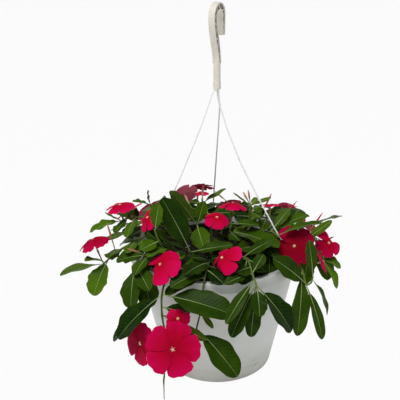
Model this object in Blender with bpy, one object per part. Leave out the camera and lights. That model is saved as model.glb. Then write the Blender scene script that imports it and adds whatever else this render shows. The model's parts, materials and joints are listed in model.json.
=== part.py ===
"""A vinca in a hanging pot: a white plastic pot of potting mix on three stiff strands and a
moulded hook, with trailing leafy stems and crimson blooms.

Units are metres and +Z is up. The origin is the middle of the pot's underside, and the front of
the plant looks along -Y. The planting tables are in millimetres from the middle of the pot's rim,
because that is where one measures a hanging plant from.
"""

import math
from dataclasses import dataclass
from itertools import pairwise

import bmesh
import bpy
from mathutils import Matrix, Vector
from mathutils.bvhtree import BVHTree

MM = 0.001
GAP = 0.0003

# Pot
POT_HEIGHT = 0.190
RIM_RADIUS = 0.127
WALL_TOP_RADIUS = 0.121
BASE_RADIUS = 0.081
WALL = 0.0018
FLOOR = 0.0025
SKIRT_DEPTH = 0.015
BASE_CHAMFER = 0.003
POT_SIDES = 32
DRAIN_HOLES = 4
DRAIN_HOLE_RADIUS = 0.0035
DRAIN_RING_RADIUS = 0.058

# Potting mix
SOIL_DROP = 0.018
SOIL_CROWN = 0.003
SOIL_SIDES = 18
STEM_HOLE_DEPTH = 0.012
STEM_HOLE_CLEARANCE = 0.0007

# Strands and hook
STRAND_RADIUS = 0.001
STRAND_HOLE_RADIUS = 0.0016
STRAND_END_RADIUS = 0.0018
STRAND_SEAT_RADIUS = 0.1226
STRAND_AZIMUTHS = {"strand_left": 210.0, "strand_right": 330.0, "strand_back": 93.0}
STRAND_SPREAD = 0.0024
# The bow of each strand in millimetres: radius, height over the rim and how far it is pushed to +X.
STRAND_BOWS = {
    "strand_left": ((8, 221, 0), (12, 210, 0), (26, 177, 0), (61, 106, 0)),
    "strand_right": ((3, 220, 0), (5, 204, 0), (15, 176, 0), (38, 128, 0), (64, 86, 0), (93, 41, 0)),
    "strand_back": ((4, 213, 2), (6, 204, 4), (10, 194, 4), (61, 106, 2)),
}
STRAND_SOCKET_DEPTH = 0.006
HOOK_FOOT = 0.228
HOOK_SHAFT_TOP = 0.262
HOOK_TOP = 0.342
HOOK_TIP = 0.298
HOOK_OUTER_RADIUS = 0.018
HOOK_DEPTH = 0.010
HOOK_END_DEPTH = 0.007
HOOK_WIDTH = 0.009
HOOK_FLANGE = 0.0018
HOOK_WEB = 0.0018
HOOK_RIB = 0.0013
HOOK_RIB_STEP = 0.010
HOOK_TURN = 66.0
FOOT_SIZE = 0.0092

# Stems, leaves and blooms
STEM_RADII = (0.0021, 0.0012)
STALK_RADIUS = 0.0011
BUD_RADIUS = 0.0014
BLADE = 0.0007
BLADE_CLEARANCE = 0.0021
PETIOLE_SHARE = 0.16
PETIOLE_WIDTH = 0.0024
LEAF_FOLD = 16.0
CROWN_HEIGHT = 0.050
CROWN_FALL = 0.41
PETAL = 0.0008
PETALS = 5
TUBE_RADII = (0.0012, 0.0019)
DROOPING = 25.0

# Each stem: its place in the soil, then its leaf joints 1, 2, 3 and on.
STEMS = (
    ((-44, -16), (-62, -24, 16), (-98, -36, 26), (-132, -46, 12), (-151, -50, -2), (-160, -53, -10)),
    ((-50, 6), (-66, 4, 18), (-100, -6, 40), (-126, -14, 44), (-136, -18, 41)),
    ((-30, -38), (-46, -50, 6), (-64, -62, 20), (-78, -72, 36), (-84, -73, 54)),
    ((-18, -30), (-24, -50, 2), (-36, -74, 20), (-52, -98, 16), (-66, -118, 4), (-72, -130, -14),
     (-72, -138, -40), (-68, -142, -66), (-64, -141, -90)),
    ((-2, -34), (-8, -66, 4), (-12, -100, 13), (-16, -123, 8), (-19, -134, -12), (-22, -134, -38),
     (-28, -139, -64)),
    ((20, -30), (28, -66, 8), (40, -98, 22), (46, -120, 12), (50, -133, 5), (52, -137, 0)),
    ((42, -22), (66, -44, 14), (100, -62, 14), (116, -76, -4), (121, -88, -21), (128, -88, -19),
     (131, -84, -12)),
    ((60, -4), (88, -22, 18), (120, -38, 18), (136, -42, 4), (148, -40, -8)),
    ((38, 4), (54, -8, 16), (70, -28, 28), (77, -48, 38), (83, -72, 43)),
    ((28, 26), (44, 22, 14), (62, 14, 32), (78, 4, 36)),
    ((20, 2), (32, -6, 14), (44, -18, 40), (46, -24, 60), (47, -26, 70)),
    ((4, -8), (12, -16, 8), (18, -22, 26), (20, -20, 40)),
    ((-14, -8), (-22, -14, 8), (-28, -20, 36), (-25, -8, 50), (-21, 6, 60)),
    ((-30, 20), (-46, 16, 18), (-70, 8, 42), (-92, 2, 54), (-96, 0, 60)),
    ((-44, -34), (-66, -56, 14), (-92, -80, 18), (-112, -94, 8)),
    ((58, 20), (86, 26, 14), (118, 30, 12), (142, 30, -2), (156, 30, -20)),
    ((40, 44), (62, 66, 10), (86, 92, 12), (100, 110, -2), (106, 118, -24)),
    ((6, 52), (14, 84, 8), (20, 112, 12), (22, 134, 2), (24, 146, -22)),
    ((-36, 44), (-54, 70, 10), (-74, 96, 12), (-88, 112, 0), (-94, 122, -24)),
    ((-60, 26), (-86, 32, 12), (-108, 46, 10), (-122, 58, 0), (-130, 68, -16)),
    ((-8, 28), (-10, 44, 12), (-16, 64, 22), (-20, 80, 24)),
)

# Each leaf that shows: stem, joint, tip, width, roll and arch in degrees.
LEAVES = (
    (1, 4.0, (-170, -84, -42), 33, -15, 28),
    (1, 5.0, (-223, -45, -32), 24, 55, 20),
    (1, 4.5, (-184, -64, 8), 22, 0, 30),
    (1, 3.0, (-145, -66, 4), 18, 0, 20),
    (2, 4.0, (-181, -20, 25), 24, -5, 25),
    (2, 4.0, (-159, -14, 53), 7, 60, -10),
    (2, 3.0, (-134, -32, 62), 15, 0, 10),
    (2, 2.0, (-129, -46, 32), 22, 0, 25),
    (3, 4.0, (-76, -76, 93), 22, 40, 15),
    (3, 3.0, (-102, -88, 30), 22, -20, 20),
    (3, 2.0, (-95, -98, 14), 26, 0, 25),
    (4, 2.0, (-74, -60, 94), 36, 0, 15),
    (4, 2.0, (21, -90, 33), 20, 0, 10),
    (4, 2.0, (-60, -96, 44), 18, 0, 10),
    (4, 5.0, (-130, -150, -68), 38, 0, 25),
    (4, 5.0, (-140, -128, -86), 28, 0, 20),
    (4, 5.0, (20, -157, -36), 41, 8, 25),
    (4, 6.0, (-8, -154, -56), 14, 50, 10),
    (4, 5.6, (-34, -134, -46), 20, 45, 15),
    (4, 7.6, (-71, -158, -160), 14, 70, 10),
    (5, 2.4, (-60, -136, 0), 28, 0, 25),
    (5, 3.0, (-69, -124, -16), 22, 0, 20),
    (5, 6.0, (27, -175, -110), 38, 0, 28),
    (5, 5.0, (-5, -154, -50), 8, 0, 20),
    (6, 4.6, (98, -144, -61), 38, 0, 25),
    (6, 4.0, (44, -156, -62), 23, 0, 20),
    (6, 3.6, (6, -164, -36), 17, 0, 35),
    (6, 4.2, (18, -158, -60), 24, 0, 25),
    (6, 4.6, (60, -150, -34), 22, 0, 25),
    (6, 3.0, (9, -142, 8), 16, 0, 20),
    (6, 3.0, (62, -96, 28), 17, 0, 10),
    (7, 3.0, (108, -126, -80), 27, 0, 20),
    (7, 4.0, (146, -102, -101), 18, 30, 25),
    (7, 6.0, (122, -90, 46), 18, -60, 15),
    (7, 5.6, (153, -86, -72), 18, 0, 30),
    (7, 4.0, (74, -100, 24), 28, -40, 30),
    (8, 4.0, (175, -46, -19), 25, 0, 25),
    (8, 3.6, (168, -64, -42), 19, 0, 40),
    (8, 2.0, (155, -15, 48), 12, 50, -10),
    (9, 4.0, (144, -50, 53), 24, -25, 20),
    (9, 2.6, (119, -10, 61), 20, 0, 20),
    (9, 2.6, (105, -26, 62), 15, 0, 10),
    (10, 3.0, (84, -8, 58), 18, 0, 10),
    (11, 4.0, (55, -20, 79), 9, 0, 10),
    (11, 4.0, (69, -22, 92), 6, 60, -25),
    (11, 4.0, (25, -18, 89), 5, 60, 0),
    (11, 3.0, (62, -30, 72), 14, 0, 20),
    (11, 3.0, (60, -36, 54), 15, 0, 20),
    (12, 2.0, (88, -76, 28), 35, 0, 25),
    (12, 3.0, (64, -24, 42), 22, 0, 20),
    (12, 3.0, (-17, -38, 57), 6, 60, 10),
    (13, 2.0, (-18, -20, 73), 18, 60, 15),
    (13, 2.0, (-18, -60, 18), 29, 0, 35),
    (13, 2.0, (-63, -48, 100), 18, 45, 10),
    (13, 4.0, (-43, 20, 69), 14, 0, 20),
    (13, 4.0, (13, 30, 72), 14, 5, 10),
    (14, 4.0, (-98, 0, 82), 15, 0, 10),
    (14, 4.0, (-120, -6, 66), 18, 0, 15),
    (14, 3.0, (-72, -14, 74), 18, 0, 20),
    (15, 3.0, (-110, -130, -35), 30, 0, 30),
    (15, 2.0, (-108, -118, 8), 20, 0, 25),
    (15, 2.0, (-136, -86, 12), 26, 0, 30),
    (15, 3.0, (-88, -130, -8), 24, 0, 30),
)

# The shaded leaves behind them, in the same terms.
SHADED_LEAVES = (
    (15, 1.2, (-100, -86, 36), 26, 0, 15),
    (15, 2.4, (-84, -134, -26), 32, 0, 30),
    (14, 1.2, (-18, 44, 28), 28, 25, 15),
    (3, 1.8, (-100, -46, 50), 22, 0, 20),
    (15, 1.6, (-86, -122, -4), 26, 0, 30),
    (5, 1.6, (-42, -136, 0), 26, 0, 25),
    (13, 1.0, (-64, -60, 44), 26, 0, 20),
    (13, 1.2, (-8, -62, 38), 24, 0, 20),
    (12, 2.0, (34, -50, 30), 22, 0, 20),
    (12, 1.0, (-4, -88, 14), 26, 0, 25),
    (12, 1.0, (46, -82, 8), 26, 0, 25),
    (7, 1.0, (92, -86, 20), 26, 0, 25),
    (8, 1.3, (116, -58, 12), 24, 0, 25),
    (8, 2.0, (136, -68, 0), 22, 0, 25),
    (3, 1.6, (-86, -70, 50), 22, 0, 10),
    (2, 1.6, (-122, -40, 22), 26, 0, 20),
    (1, 2.2, (-132, -10, 22), 24, 0, 20),
    (12, 1.0, (7, -44, 34), 26, 0, 15),
    (6, 1.0, (26, -78, 38), 26, 0, 10),
    (7, 1.0, (30, -76, 26), 26, 0, 15),
    (6, 2.0, (28, -122, -4), 24, 0, 20),
    (5, 1.0, (-30, -84, 32), 22, 0, 10),
    (7, 1.0, (72, -64, 36), 24, 0, 10),
    (5, 1.0, (-28, -110, -2), 26, 0, 25),
    (5, 1.2, (14, -114, 0), 24, 0, 25),
    (6, 1.0, (32, -108, 4), 26, 0, 25),
    (1, 2.0, (-124, -84, 8), 26, 0, 25),
    (1, 3.0, (-148, -84, 6), 22, 0, 25),
    (3, 1.0, (-36, -98, 14), 26, 0, 25),
    (14, 1.6, (-98, -32, 46), 26, 0, 20),
    (9, 1.3, (98, -36, 24), 24, 0, 20),
    (6, 1.2, (66, -106, 6), 26, 0, 25),
    (6, 2.6, (24, -128, 14), 24, 0, 25),
    (6, 2.0, (62, -112, 12), 24, 0, 20),
    (5, 2.4, (9, -138, 6), 22, 0, 25),
    (7, 1.2, (72, -98, 8), 26, 0, 20),
    (6, 1.0, (-4, -100, 22), 24, 0, 25),
    (2, 1.2, (-96, -30, 30), 26, 0, 20),
    (2, 3.0, (-142, -42, 34), 20, 0, 20),
    (11, 1.2, (-4, 18, 38), 22, 0, 15),
    (18, 1.0, (-34, 84, 12), 28, -50, 15),
    (18, 1.4, (56, 88, 12), 28, 50, 15),
    (21, 2.0, (-62, 76, 14), 26, -50, 15),
    (21, 1.6, (28, 60, 20), 26, 50, 15),
    (17, 1.0, (26, 62, 14), 26, -50, 15),
    (17, 1.2, (110, 62, 14), 26, 50, 15),
    (19, 1.0, (-96, 58, 12), 26, -50, 15),
    (10, 1.4, (90, 2, 26), 24, 0, 20),
    (21, 2.0, (14, 74, 24), 26, 0, 20),
    (18, 1.2, (52, 66, 28), 28, 0, 20),
    (16, 1.2, (114, 4, 30), 26, 0, 20),
    (20, 1.2, (-86, 4, 34), 26, 0, 20),
)

# Joints that carry a pair of leaves set by rule: stem, joints and leaf length.
LEAF_PAIRS = (
    (1, (2.4,), 52), (2, (2.5,), 48), (3, (1.5,), 48), (4, (3.3,), 54), (6, (1.6,), 50), (8, (2.6,), 52),
    (9, (1.7,), 48), (10, (2.6,), 48), (11, (1.7,), 42), (14, (2.4,), 46), (16, (1.6, 2.6, 3.7), 60),
    (17, (1.9, 3.2), 62), (18, (1.6, 2.7, 3.8), 60), (19, (1.7, 3.2), 62), (20, (1.7, 2.7, 3.8), 56),
    (21, (3.0,), 46),
)

# Each bloom: stem, joint, middle, the way it faces, width, droop of its petals, tube and turn.
# Where one petal is folded back the droops stand one by one.
BLOOMS = (
    (2, 4.0, (-137, -15, 66), (-0.15, 0.02, 0.99), 46, 35, 22, 46),
    (2, 2.0, (-96, -46, 60), (-0.70, -0.30, 0.65), 46, 35, 20, 60),
    (1, 5.0, (-173, -48, 28), (-0.35, 0.10, 0.93), 54, 50, 22, 64),
    (3, 2.0, (-75, -114, 23), (-0.47, -0.39, 0.79), 62, (45, 45, 40, 100, 45), 18, 19),
    (5, 2.0, (6, -118, 35), (-0.50, -0.30, 0.81), 58, (30, 60, 80, 125, 70), 22, 58),
    (12, 3.0, (23, 4, 61), (0.10, 0.30, 0.95), 50, 50, 16, 36),
    (12, 2.6, (0, -36, 56), (0.10, -0.30, 0.95), 42, 50, 16, 45),
    (13, 4.0, (-20, 13, 83), (0.05, 0.60, 0.80), 36, 12, 22, 69),
    (13, 3.4, (-47, 8, 73), (-0.35, 0.83, 0.43), 42, 10, 22, 2),
    (10, 2.5, (75, 0, 60), (-0.05, 0.28, 0.96), 32, 15, 20, 5),
    (10, 3.0, (103, 2, 58), (0.10, 0.45, 0.89), 28, 15, 22, 35),
    (8, 1.6, (105, -70, 28), (-0.05, -0.75, 0.66), 62, (5, 5, 60, 30, 20), 20, 42),
    (8, 3.0, (158, -36, 16), (0.45, -0.55, 0.70), 46, (85, 25, 75, 45, 25), 20, 22),
    (8, 3.2, (146, -72, 6), (0.90, -0.05, 0.42), 38, 20, 14, 47),
    (4, 8.0, (-57, -172, -70), (0.02, -0.83, 0.55), 76, 0, 26, 2),
    (4, 7.0, (-102, -146, -78), (-0.72, -0.66, 0.20), 64, 5, 24, 66),
    (4, 6.0, (-51, -146, -40), (0.02, -0.83, 0.55), 34, (5, 70, 30, 5, 5), 12, 2),
    (16, 3.0, (152, 48, -4), (0.55, 0.50, 0.67), 50, 10, 24, 0),
    (17, 4.0, (122, 128, -8), (0.50, 0.65, 0.57), 56, 5, 26, 10),
    (18, 4.0, (26, 168, -20), (0.05, 0.85, 0.52), 60, 5, 24, 20),
    (19, 4.0, (-108, 132, -6), (-0.50, 0.65, 0.57), 56, 5, 26, 30),
    (20, 2.0, (-136, 64, 22), (-0.55, 0.25, 0.80), 50, 10, 22, 50),
    (21, 2.4, (-30, 78, 46), (0.00, 0.20, 0.98), 40, 10, 18, 0),
)

# Slender unopened buds: stem, joint and tip.
BUDS = (
    (1, 3.4, (-151, -50, 53)), (15, 2.0, (-118, -104, 41)), (11, 4.0, (36, -20, 87)),
    (11, 4.0, (43, -25, 92)), (10, 2.0, (80, 30, 64)), (9, 2.4, (112, -18, 72)),
    (8, 2.0, (150, -12, 52)), (16, 4.0, (176, 34, -8)),
    (18, 3.0, (-4, 148, 20)),
)


@dataclass(frozen=True)
class Leaf:
    """A blade from base to tip that arches over its chord and folds up at the midrib."""

    stem: int
    base: Vector
    tip: Vector
    width: float
    roll: float
    arch: float
    folded: bool = False

    def axes(self):
        along = (self.tip - self.base).normalized()
        outward = Vector((self.base.x, self.base.y, 0.0)).normalized()
        across = along.cross(Vector((0.0, 0.0, 1.0)) + 0.35 * outward).normalized()
        turn = Matrix.Rotation(math.radians(self.roll), 3, along)
        return along, turn @ across, turn @ across.cross(along)

    def half_width(self, u):
        if u <= PETIOLE_SHARE:
            return PETIOLE_WIDTH * (0.3 + 0.2 * u / PETIOLE_SHARE)
        t = (u - PETIOLE_SHARE) / (1.0 - PETIOLE_SHARE)
        swell = (t**0.75 * (1.0 - t) ** 0.6) / 0.396
        return max(PETIOLE_WIDTH / 2 * (1.0 - t), self.width / 2 * swell)

    def point(self, u, v):
        """The place and the normal at u along the midrib and v across, from -1 to 1."""
        along, across, face = self.axes()
        chord = (self.tip - self.base).length
        half = math.radians(self.arch) / 2
        angle = half * (2.0 * u - 1.0)
        if abs(half) < 1e-4:
            middle = self.base + along * chord * u
        else:
            reach = chord / (2.0 * math.sin(half))
            middle = self.base + along * reach * (math.sin(angle) + math.sin(half))
            middle += face * reach * (math.cos(angle) - math.cos(half))
        normal = face * math.cos(angle) + along * math.sin(angle)
        fold = math.radians(LEAF_FOLD if self.folded else 0.0)
        width = self.half_width(u)
        place = middle + across * (v * width * math.cos(fold)) + normal * (abs(v) * width * math.sin(fold))
        return place, normal

    def leaned(self, sideways, lift, shrink):
        """The same leaf swung about its base."""
        along, across, face = self.axes()
        turn = Matrix.Rotation(math.radians(sideways), 3, face) @ Matrix.Rotation(math.radians(lift), 3, across)
        tip = self.base + shrink * (turn @ (self.tip - self.base))
        width = self.width * math.sqrt(shrink)
        return Leaf(self.stem, self.base, tip, width, self.roll, self.arch, self.folded)

    def grid(self):
        """Rows of places and normals from base to tip, and the tip's own."""
        shares = (0.0, PETIOLE_SHARE, 0.46, 0.76)
        if self.folded and (self.tip - self.base).length > 0.060:
            shares = (0.0, PETIOLE_SHARE, 0.40, 0.64, 0.85)
        columns = (-1.0, 0.0, 1.0) if self.folded else (-1.0, 1.0)
        return [[self.point(u, v) for v in columns] for u in shares], self.point(1.0, 0.0)


def clear_scene():
    for item in list(bpy.data.objects):
        bpy.data.objects.remove(item, do_unlink=True)


def material(name, colour, roughness):
    made = bpy.data.materials.new(name)
    made.use_nodes = True
    shader = made.node_tree.nodes["Principled BSDF"]
    shader.inputs["Base Color"].default_value = (*colour, 1.0)
    shader.inputs["Roughness"].default_value = roughness
    shader.inputs["Metallic"].default_value = 0.0
    return made


def finished(name, bm, finish=None, smooth_angle=40.0):
    """An object from a bmesh, with its faces outwards."""
    bmesh.ops.recalc_face_normals(bm, faces=bm.faces)
    mesh = bpy.data.meshes.new(name)
    bm.to_mesh(mesh)
    bm.free()
    mesh.shade_smooth()
    mesh.set_sharp_from_angle(angle=math.radians(smooth_angle))
    made = bpy.data.objects.new(name, mesh)
    if finish:
        mesh.materials.append(finish)
    bpy.context.scene.collection.objects.link(made)
    return made


def combined(base, others, operation):
    """Applies one Boolean of all the others on the base, and removes them."""
    if not others:
        return base
    group = bpy.data.collections.new(base.name + "_tools")
    bpy.context.scene.collection.children.link(group)
    for other in others:
        bpy.context.scene.collection.objects.unlink(other)
        group.objects.link(other)
    boolean = base.modifiers.new("joined", "BOOLEAN")
    boolean.operation = operation
    boolean.operand_type = "COLLECTION"
    boolean.collection = group
    boolean.solver = "EXACT"
    graph = bpy.context.evaluated_depsgraph_get()
    mesh = bpy.data.meshes.new_from_object(base.evaluated_get(graph))
    base.modifiers.clear()
    old = base.data
    base.data = mesh
    bpy.data.meshes.remove(old)
    for other in list(group.objects):
        bpy.data.objects.remove(other, do_unlink=True)
    bpy.data.collections.remove(group)
    return base


def at_rim(place):
    """A place in millimetres from the middle of the rim, in metres from the pot's underside."""
    return Vector(place) * MM + Vector((0.0, 0.0, POT_HEIGHT))


def curve_point(points, station):
    """The place on the smooth curve through the points, at a whole or part station."""
    station = min(max(station, 0.0), len(points) - 1.0)
    index = min(int(station), len(points) - 2)
    t = station - index
    a, b = points[index], points[index + 1]
    before = points[index - 1] if index else 2 * a - b
    after = points[index + 2] if index + 2 < len(points) else 2 * b - a
    return 0.5 * (
        2 * a
        + (b - before) * t
        + (2 * before - 5 * a + 4 * b - after) * t**2
        + (3 * a - before - 3 * b + after) * t**3
    )


def curve_direction(points, station):
    return (curve_point(points, station + 0.05) - curve_point(points, station - 0.05)).normalized()


def carried_frames(points):
    """A direction across the path at each point, turned as little as possible along the way."""
    directions = [(b - a).normalized() for a, b in pairwise(points)]
    directions = [directions[0]] + [(a + b).normalized() for a, b in pairwise(directions)] + [directions[-1]]
    across = directions[0].orthogonal().normalized()
    frames = []
    for direction in directions:
        across = (across - direction * across.dot(direction)).normalized()
        frames.append((across, direction.cross(across)))
    return frames


def tube(points, radii, sides):
    """A closed tube along the points."""
    bm = bmesh.new()
    rings = []
    for place, (across, up), radius in zip(points, carried_frames(points), radii):
        angles = [math.tau * k / sides for k in range(sides)]
        rings.append([bm.verts.new(place + radius * (across * math.cos(a) + up * math.sin(a))) for a in angles])
    for low, high in pairwise(rings):
        for k in range(sides):
            bm.faces.new((low[k], low[(k + 1) % sides], high[(k + 1) % sides], high[k]))
    bm.faces.new(rings[0])
    bm.faces.new(rings[-1])
    return bm


def turned(profile, sides):
    """A closed solid of revolution from (radius, height) points, both ends on the axis."""
    bm = bmesh.new()
    verts = [bm.verts.new((radius, 0.0, height)) for radius, height in profile]
    edges = [bm.edges.new(pair) for pair in pairwise(verts)]
    bmesh.ops.spin(bm, geom=verts + edges, cent=(0, 0, 0), axis=(0, 0, 1), angle=math.tau, steps=sides,
                   use_merge=True)
    bmesh.ops.remove_doubles(bm, verts=bm.verts, dist=1e-6)
    return bm


def wall_radius(height):
    """The pot's outer radius at a height above its underside."""
    return BASE_RADIUS + (WALL_TOP_RADIUS - BASE_RADIUS) * height / POT_HEIGHT


def polar(radius, degrees, height=0.0):
    angle = math.radians(degrees)
    return Vector((radius * math.cos(angle), radius * math.sin(angle), height))


def cylinder(name, place, radius, depth, sides=12):
    bm = bmesh.new()
    bmesh.ops.create_cone(bm, cap_ends=True, segments=sides, radius1=radius, radius2=radius, depth=depth,
                          matrix=Matrix.Translation(place))
    return finished(name, bm)


def build_pot(finish):
    """The pot with its floor, tapering wall, ledge and turned-down skirt."""
    skirt_foot = POT_HEIGHT - SKIRT_DEPTH
    inner_top = WALL_TOP_RADIUS - WALL
    profile = [
        (0.0, 0.0),
        (BASE_RADIUS - BASE_CHAMFER, 0.0),
        (wall_radius(BASE_CHAMFER), BASE_CHAMFER),
        (wall_radius(POT_HEIGHT - WALL), POT_HEIGHT - WALL),
        (RIM_RADIUS - WALL, POT_HEIGHT - WALL),
        (RIM_RADIUS - WALL, skirt_foot),
        (RIM_RADIUS, skirt_foot),
        (RIM_RADIUS, POT_HEIGHT - WALL / 2),
        (RIM_RADIUS - WALL / 2, POT_HEIGHT),
        (inner_top, POT_HEIGHT),
        (wall_radius(FLOOR + WALL) - WALL, FLOOR + WALL),
        (wall_radius(FLOOR) - 2 * WALL, FLOOR),
        (0.0, FLOOR),
    ]
    pot = finished("pot", turned(profile, POT_SIDES), finish)
    holes = [
        cylinder("drain_hole", polar(DRAIN_RING_RADIUS, 45 + k * 360 / DRAIN_HOLES), DRAIN_HOLE_RADIUS, 0.02, 10)
        for k in range(DRAIN_HOLES)
    ]
    for azimuth in STRAND_AZIMUTHS.values():
        seat = polar(STRAND_SEAT_RADIUS, azimuth, POT_HEIGHT)
        holes.append(cylinder("strand_hole", seat, STRAND_HOLE_RADIUS, 0.006, 10))
    return combined(pot, holes, "DIFFERENCE")


def build_soil(roots, finish):
    """The potting mix, gently mounded, with a plain hole for each stem."""
    top = POT_HEIGHT - SOIL_DROP
    low = FLOOR + GAP
    edge = wall_radius(top - SOIL_CROWN) - WALL - 2 * GAP
    profile = [
        (0.0, low),
        (wall_radius(low) - 2 * WALL - 2 * GAP, low),
        (wall_radius(low + WALL) - WALL - 2 * GAP, low + WALL),
        (edge, top - SOIL_CROWN),
        (edge * 0.8, top),
        (0.0, top),
    ]
    soil = finished("potting_soil", turned(profile, SOIL_SIDES), finish)
    holes = []
    for x, y in roots:
        centre = Vector((x * MM, y * MM, top - STEM_HOLE_DEPTH / 2 + 0.005))
        radius = STEM_RADII[0] + STEM_HOLE_CLEARANCE
        holes.append(cylinder("stem_hole", centre, radius, STEM_HOLE_DEPTH + 0.01, 5))
    return combined(soil, holes, "DIFFERENCE")


def hook_path(share):
    """The hook's middle line in its own plane, from the shaft's top (0) to its tip (1)."""
    reach = HOOK_OUTER_RADIUS - HOOK_DEPTH / 2
    centre = HOOK_TOP - HOOK_OUTER_RADIUS
    bend, arc, limb = centre - HOOK_SHAFT_TOP, math.pi * reach, centre - HOOK_TIP
    walked = share * (bend + arc + limb)
    if walked <= bend:
        t = walked / bend
        return -reach * t * t * (3 - 2 * t), HOOK_SHAFT_TOP + walked
    if walked <= bend + arc:
        angle = math.pi - (walked - bend) / reach
        return reach * math.cos(angle), centre + reach * math.sin(angle)
    return reach, centre - (walked - bend - arc)


def hook_frame(share):
    """The place, the direction along and the direction across the beam, in the hook's plane."""
    s, z = hook_path(share)
    low, high = hook_path(max(share - 0.01, 0.0)), hook_path(min(share + 0.01, 1.0))
    along = Vector((high[0] - low[0], 0.0, high[1] - low[1])).normalized()
    return Vector((s, 0.0, z)), along, Vector((along.z, 0.0, -along.x))


def hook_depth(share):
    if share < 0.25:
        return HOOK_END_DEPTH + (HOOK_DEPTH - HOOK_END_DEPTH) * share / 0.25
    if share > 0.8:
        return HOOK_DEPTH - (HOOK_DEPTH - HOOK_END_DEPTH) * (share - 0.8) / 0.2
    return HOOK_DEPTH


def hook_beam(stations=15):
    """The I-section swept along the hook's middle line."""
    bm = bmesh.new()
    rings = []
    sideways = Vector((0.0, 1.0, 0.0))
    for index in range(stations):
        share = index / (stations - 1)
        place, _, across = hook_frame(share)
        half, width, web = hook_depth(share) / 2, HOOK_WIDTH / 2, HOOK_WEB / 2
        inner = half - HOOK_FLANGE
        section = [(half, width), (inner, width), (inner, web), (-inner, web), (-inner, width), (-half, width)]
        section += [(a, -b) for a, b in reversed(section)]
        rings.append([bm.verts.new(place + across * a + sideways * b) for a, b in section])
    for low, high in pairwise(rings):
        count = len(low)
        for k in range(count):
            bm.faces.new((low[k], low[(k + 1) % count], high[(k + 1) % count], high[k]))
    bm.faces.new(rings[0])
    bm.faces.new(rings[-1])
    return bm


def hook_rib(start, end, side):
    """One slanting bar between the flanges, through the web."""
    bm = bmesh.new()
    low, _, low_across = hook_frame(start)
    high, _, high_across = hook_frame(end)
    reach = HOOK_DEPTH / 2 - HOOK_FLANGE / 2
    a = low + low_across * side * reach * hook_depth(start) / HOOK_DEPTH
    b = high - high_across * side * reach * hook_depth(end) / HOOK_DEPTH
    bmesh.ops.create_cube(bm, size=1.0)
    along = (b - a).normalized()
    basis = Matrix((along, Vector((0, 1, 0)), along.cross(Vector((0, 1, 0))))).transposed().to_4x4()
    scale = Matrix.Diagonal(((b - a).length, HOOK_WIDTH - 0.0016, HOOK_RIB, 1.0))
    bmesh.ops.transform(bm, matrix=Matrix.Translation((a + b) / 2) @ basis @ scale, verts=bm.verts)
    return finished("hook_rib", bm)


def block(name, low, high, bevel=0.0):
    """A box between two corners, its upright edges rounded off."""
    bm = bmesh.new()
    bmesh.ops.create_cube(bm, size=1.0)
    low, high = Vector(low), Vector(high)
    scale = Matrix.Diagonal((*(high - low), 1.0))
    bmesh.ops.transform(bm, matrix=Matrix.Translation((low + high) / 2) @ scale, verts=bm.verts)
    if bevel:
        upright = [e for e in bm.edges if abs(e.verts[0].co.z - e.verts[1].co.z) > 1e-4]
        bmesh.ops.bevel(bm, geom=upright, offset=bevel, segments=2, profile=0.5, affect="EDGES", material=-1)
    return finished(name, bm)


def build_hook(finish):
    """The moulded hook: ribbed beam, solid shaft and a foot with three sockets."""
    hook = finished("hanger_hook", hook_beam(), finish)
    length = (HOOK_TOP - HOOK_OUTER_RADIUS - HOOK_SHAFT_TOP) + (HOOK_TOP - HOOK_OUTER_RADIUS - HOOK_TIP)
    length += math.pi * (HOOK_OUTER_RADIUS - HOOK_DEPTH / 2)
    ribs = round(length / HOOK_RIB_STEP)
    parts = [hook_rib((k + 0.1) / ribs, (k + 0.9) / ribs, 1 if k % 2 else -1) for k in range(ribs)]
    half, wide = HOOK_END_DEPTH / 2, HOOK_WIDTH / 2 - 0.0004
    parts.append(block("shaft", (-half, -wide, HOOK_FOOT + 0.004), (half, wide, HOOK_SHAFT_TOP + 0.004), 0.001))
    foot = FOOT_SIZE / 2
    parts.append(block("foot", (-foot, -foot, HOOK_FOOT), (foot, foot, HOOK_FOOT + 0.009), 0.0025))
    hook = combined(hook, parts, "UNION")
    turn = Matrix.Translation((0, 0, POT_HEIGHT)) @ Matrix.Rotation(math.radians(HOOK_TURN), 4, "Z")
    hook.data.transform(turn)
    sockets = []
    for azimuth in STRAND_AZIMUTHS.values():
        place = polar(STRAND_SPREAD, azimuth, POT_HEIGHT + HOOK_FOOT)
        sockets.append(cylinder("socket", place, STRAND_RADIUS + GAP, 2 * STRAND_SOCKET_DEPTH, 8))
    return combined(hook, sockets, "DIFFERENCE")


def strand_route(name):
    """From the foot's socket, out along the strand's own bow, and down through the rim."""
    azimuth = STRAND_AZIMUTHS[name]
    upper = [(STRAND_SPREAD, HOOK_FOOT + STRAND_SOCKET_DEPTH - GAP, 0.0), (STRAND_SPREAD, HOOK_FOOT - 0.0005, 0.0)]
    bow = [(radius * MM, height * MM, push * MM) for radius, height, push in STRAND_BOWS[name]]
    lower = [(0.1140, 0.014, 0.0), (0.1182, 0.007, 0.0), (0.1215, 0.0028, 0.0)]
    lower += [(STRAND_SEAT_RADIUS, height, 0.0) for height in (0.0004, -0.0030, -0.0068, -0.0072, -0.0102)]
    route = []
    for radius, height, push in upper + bow + lower:
        route.append(polar(radius, azimuth, POT_HEIGHT + height) + Vector((push, 0.0, 0.0)))
    return route


def build_strand(name, finish):
    """One coated wire, thickened under the ledge that it hangs from."""
    route = strand_route(name)
    radii = [STRAND_RADIUS] * (len(route) - 2) + [STRAND_END_RADIUS] * 2
    return finished(name, tube(route, radii, 6), finish)


def stem_route(stem):
    """A stem's points in metres: in its hole, at the soil's surface, then its leaf joints."""
    x, y = stem[0]
    surface = -SOIL_DROP / MM
    bottom = (x, y, surface - STEM_HOLE_DEPTH / MM + 0.5)
    return [at_rim(place) for place in (bottom, (x, y, surface + 3), *stem[1:])]


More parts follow.
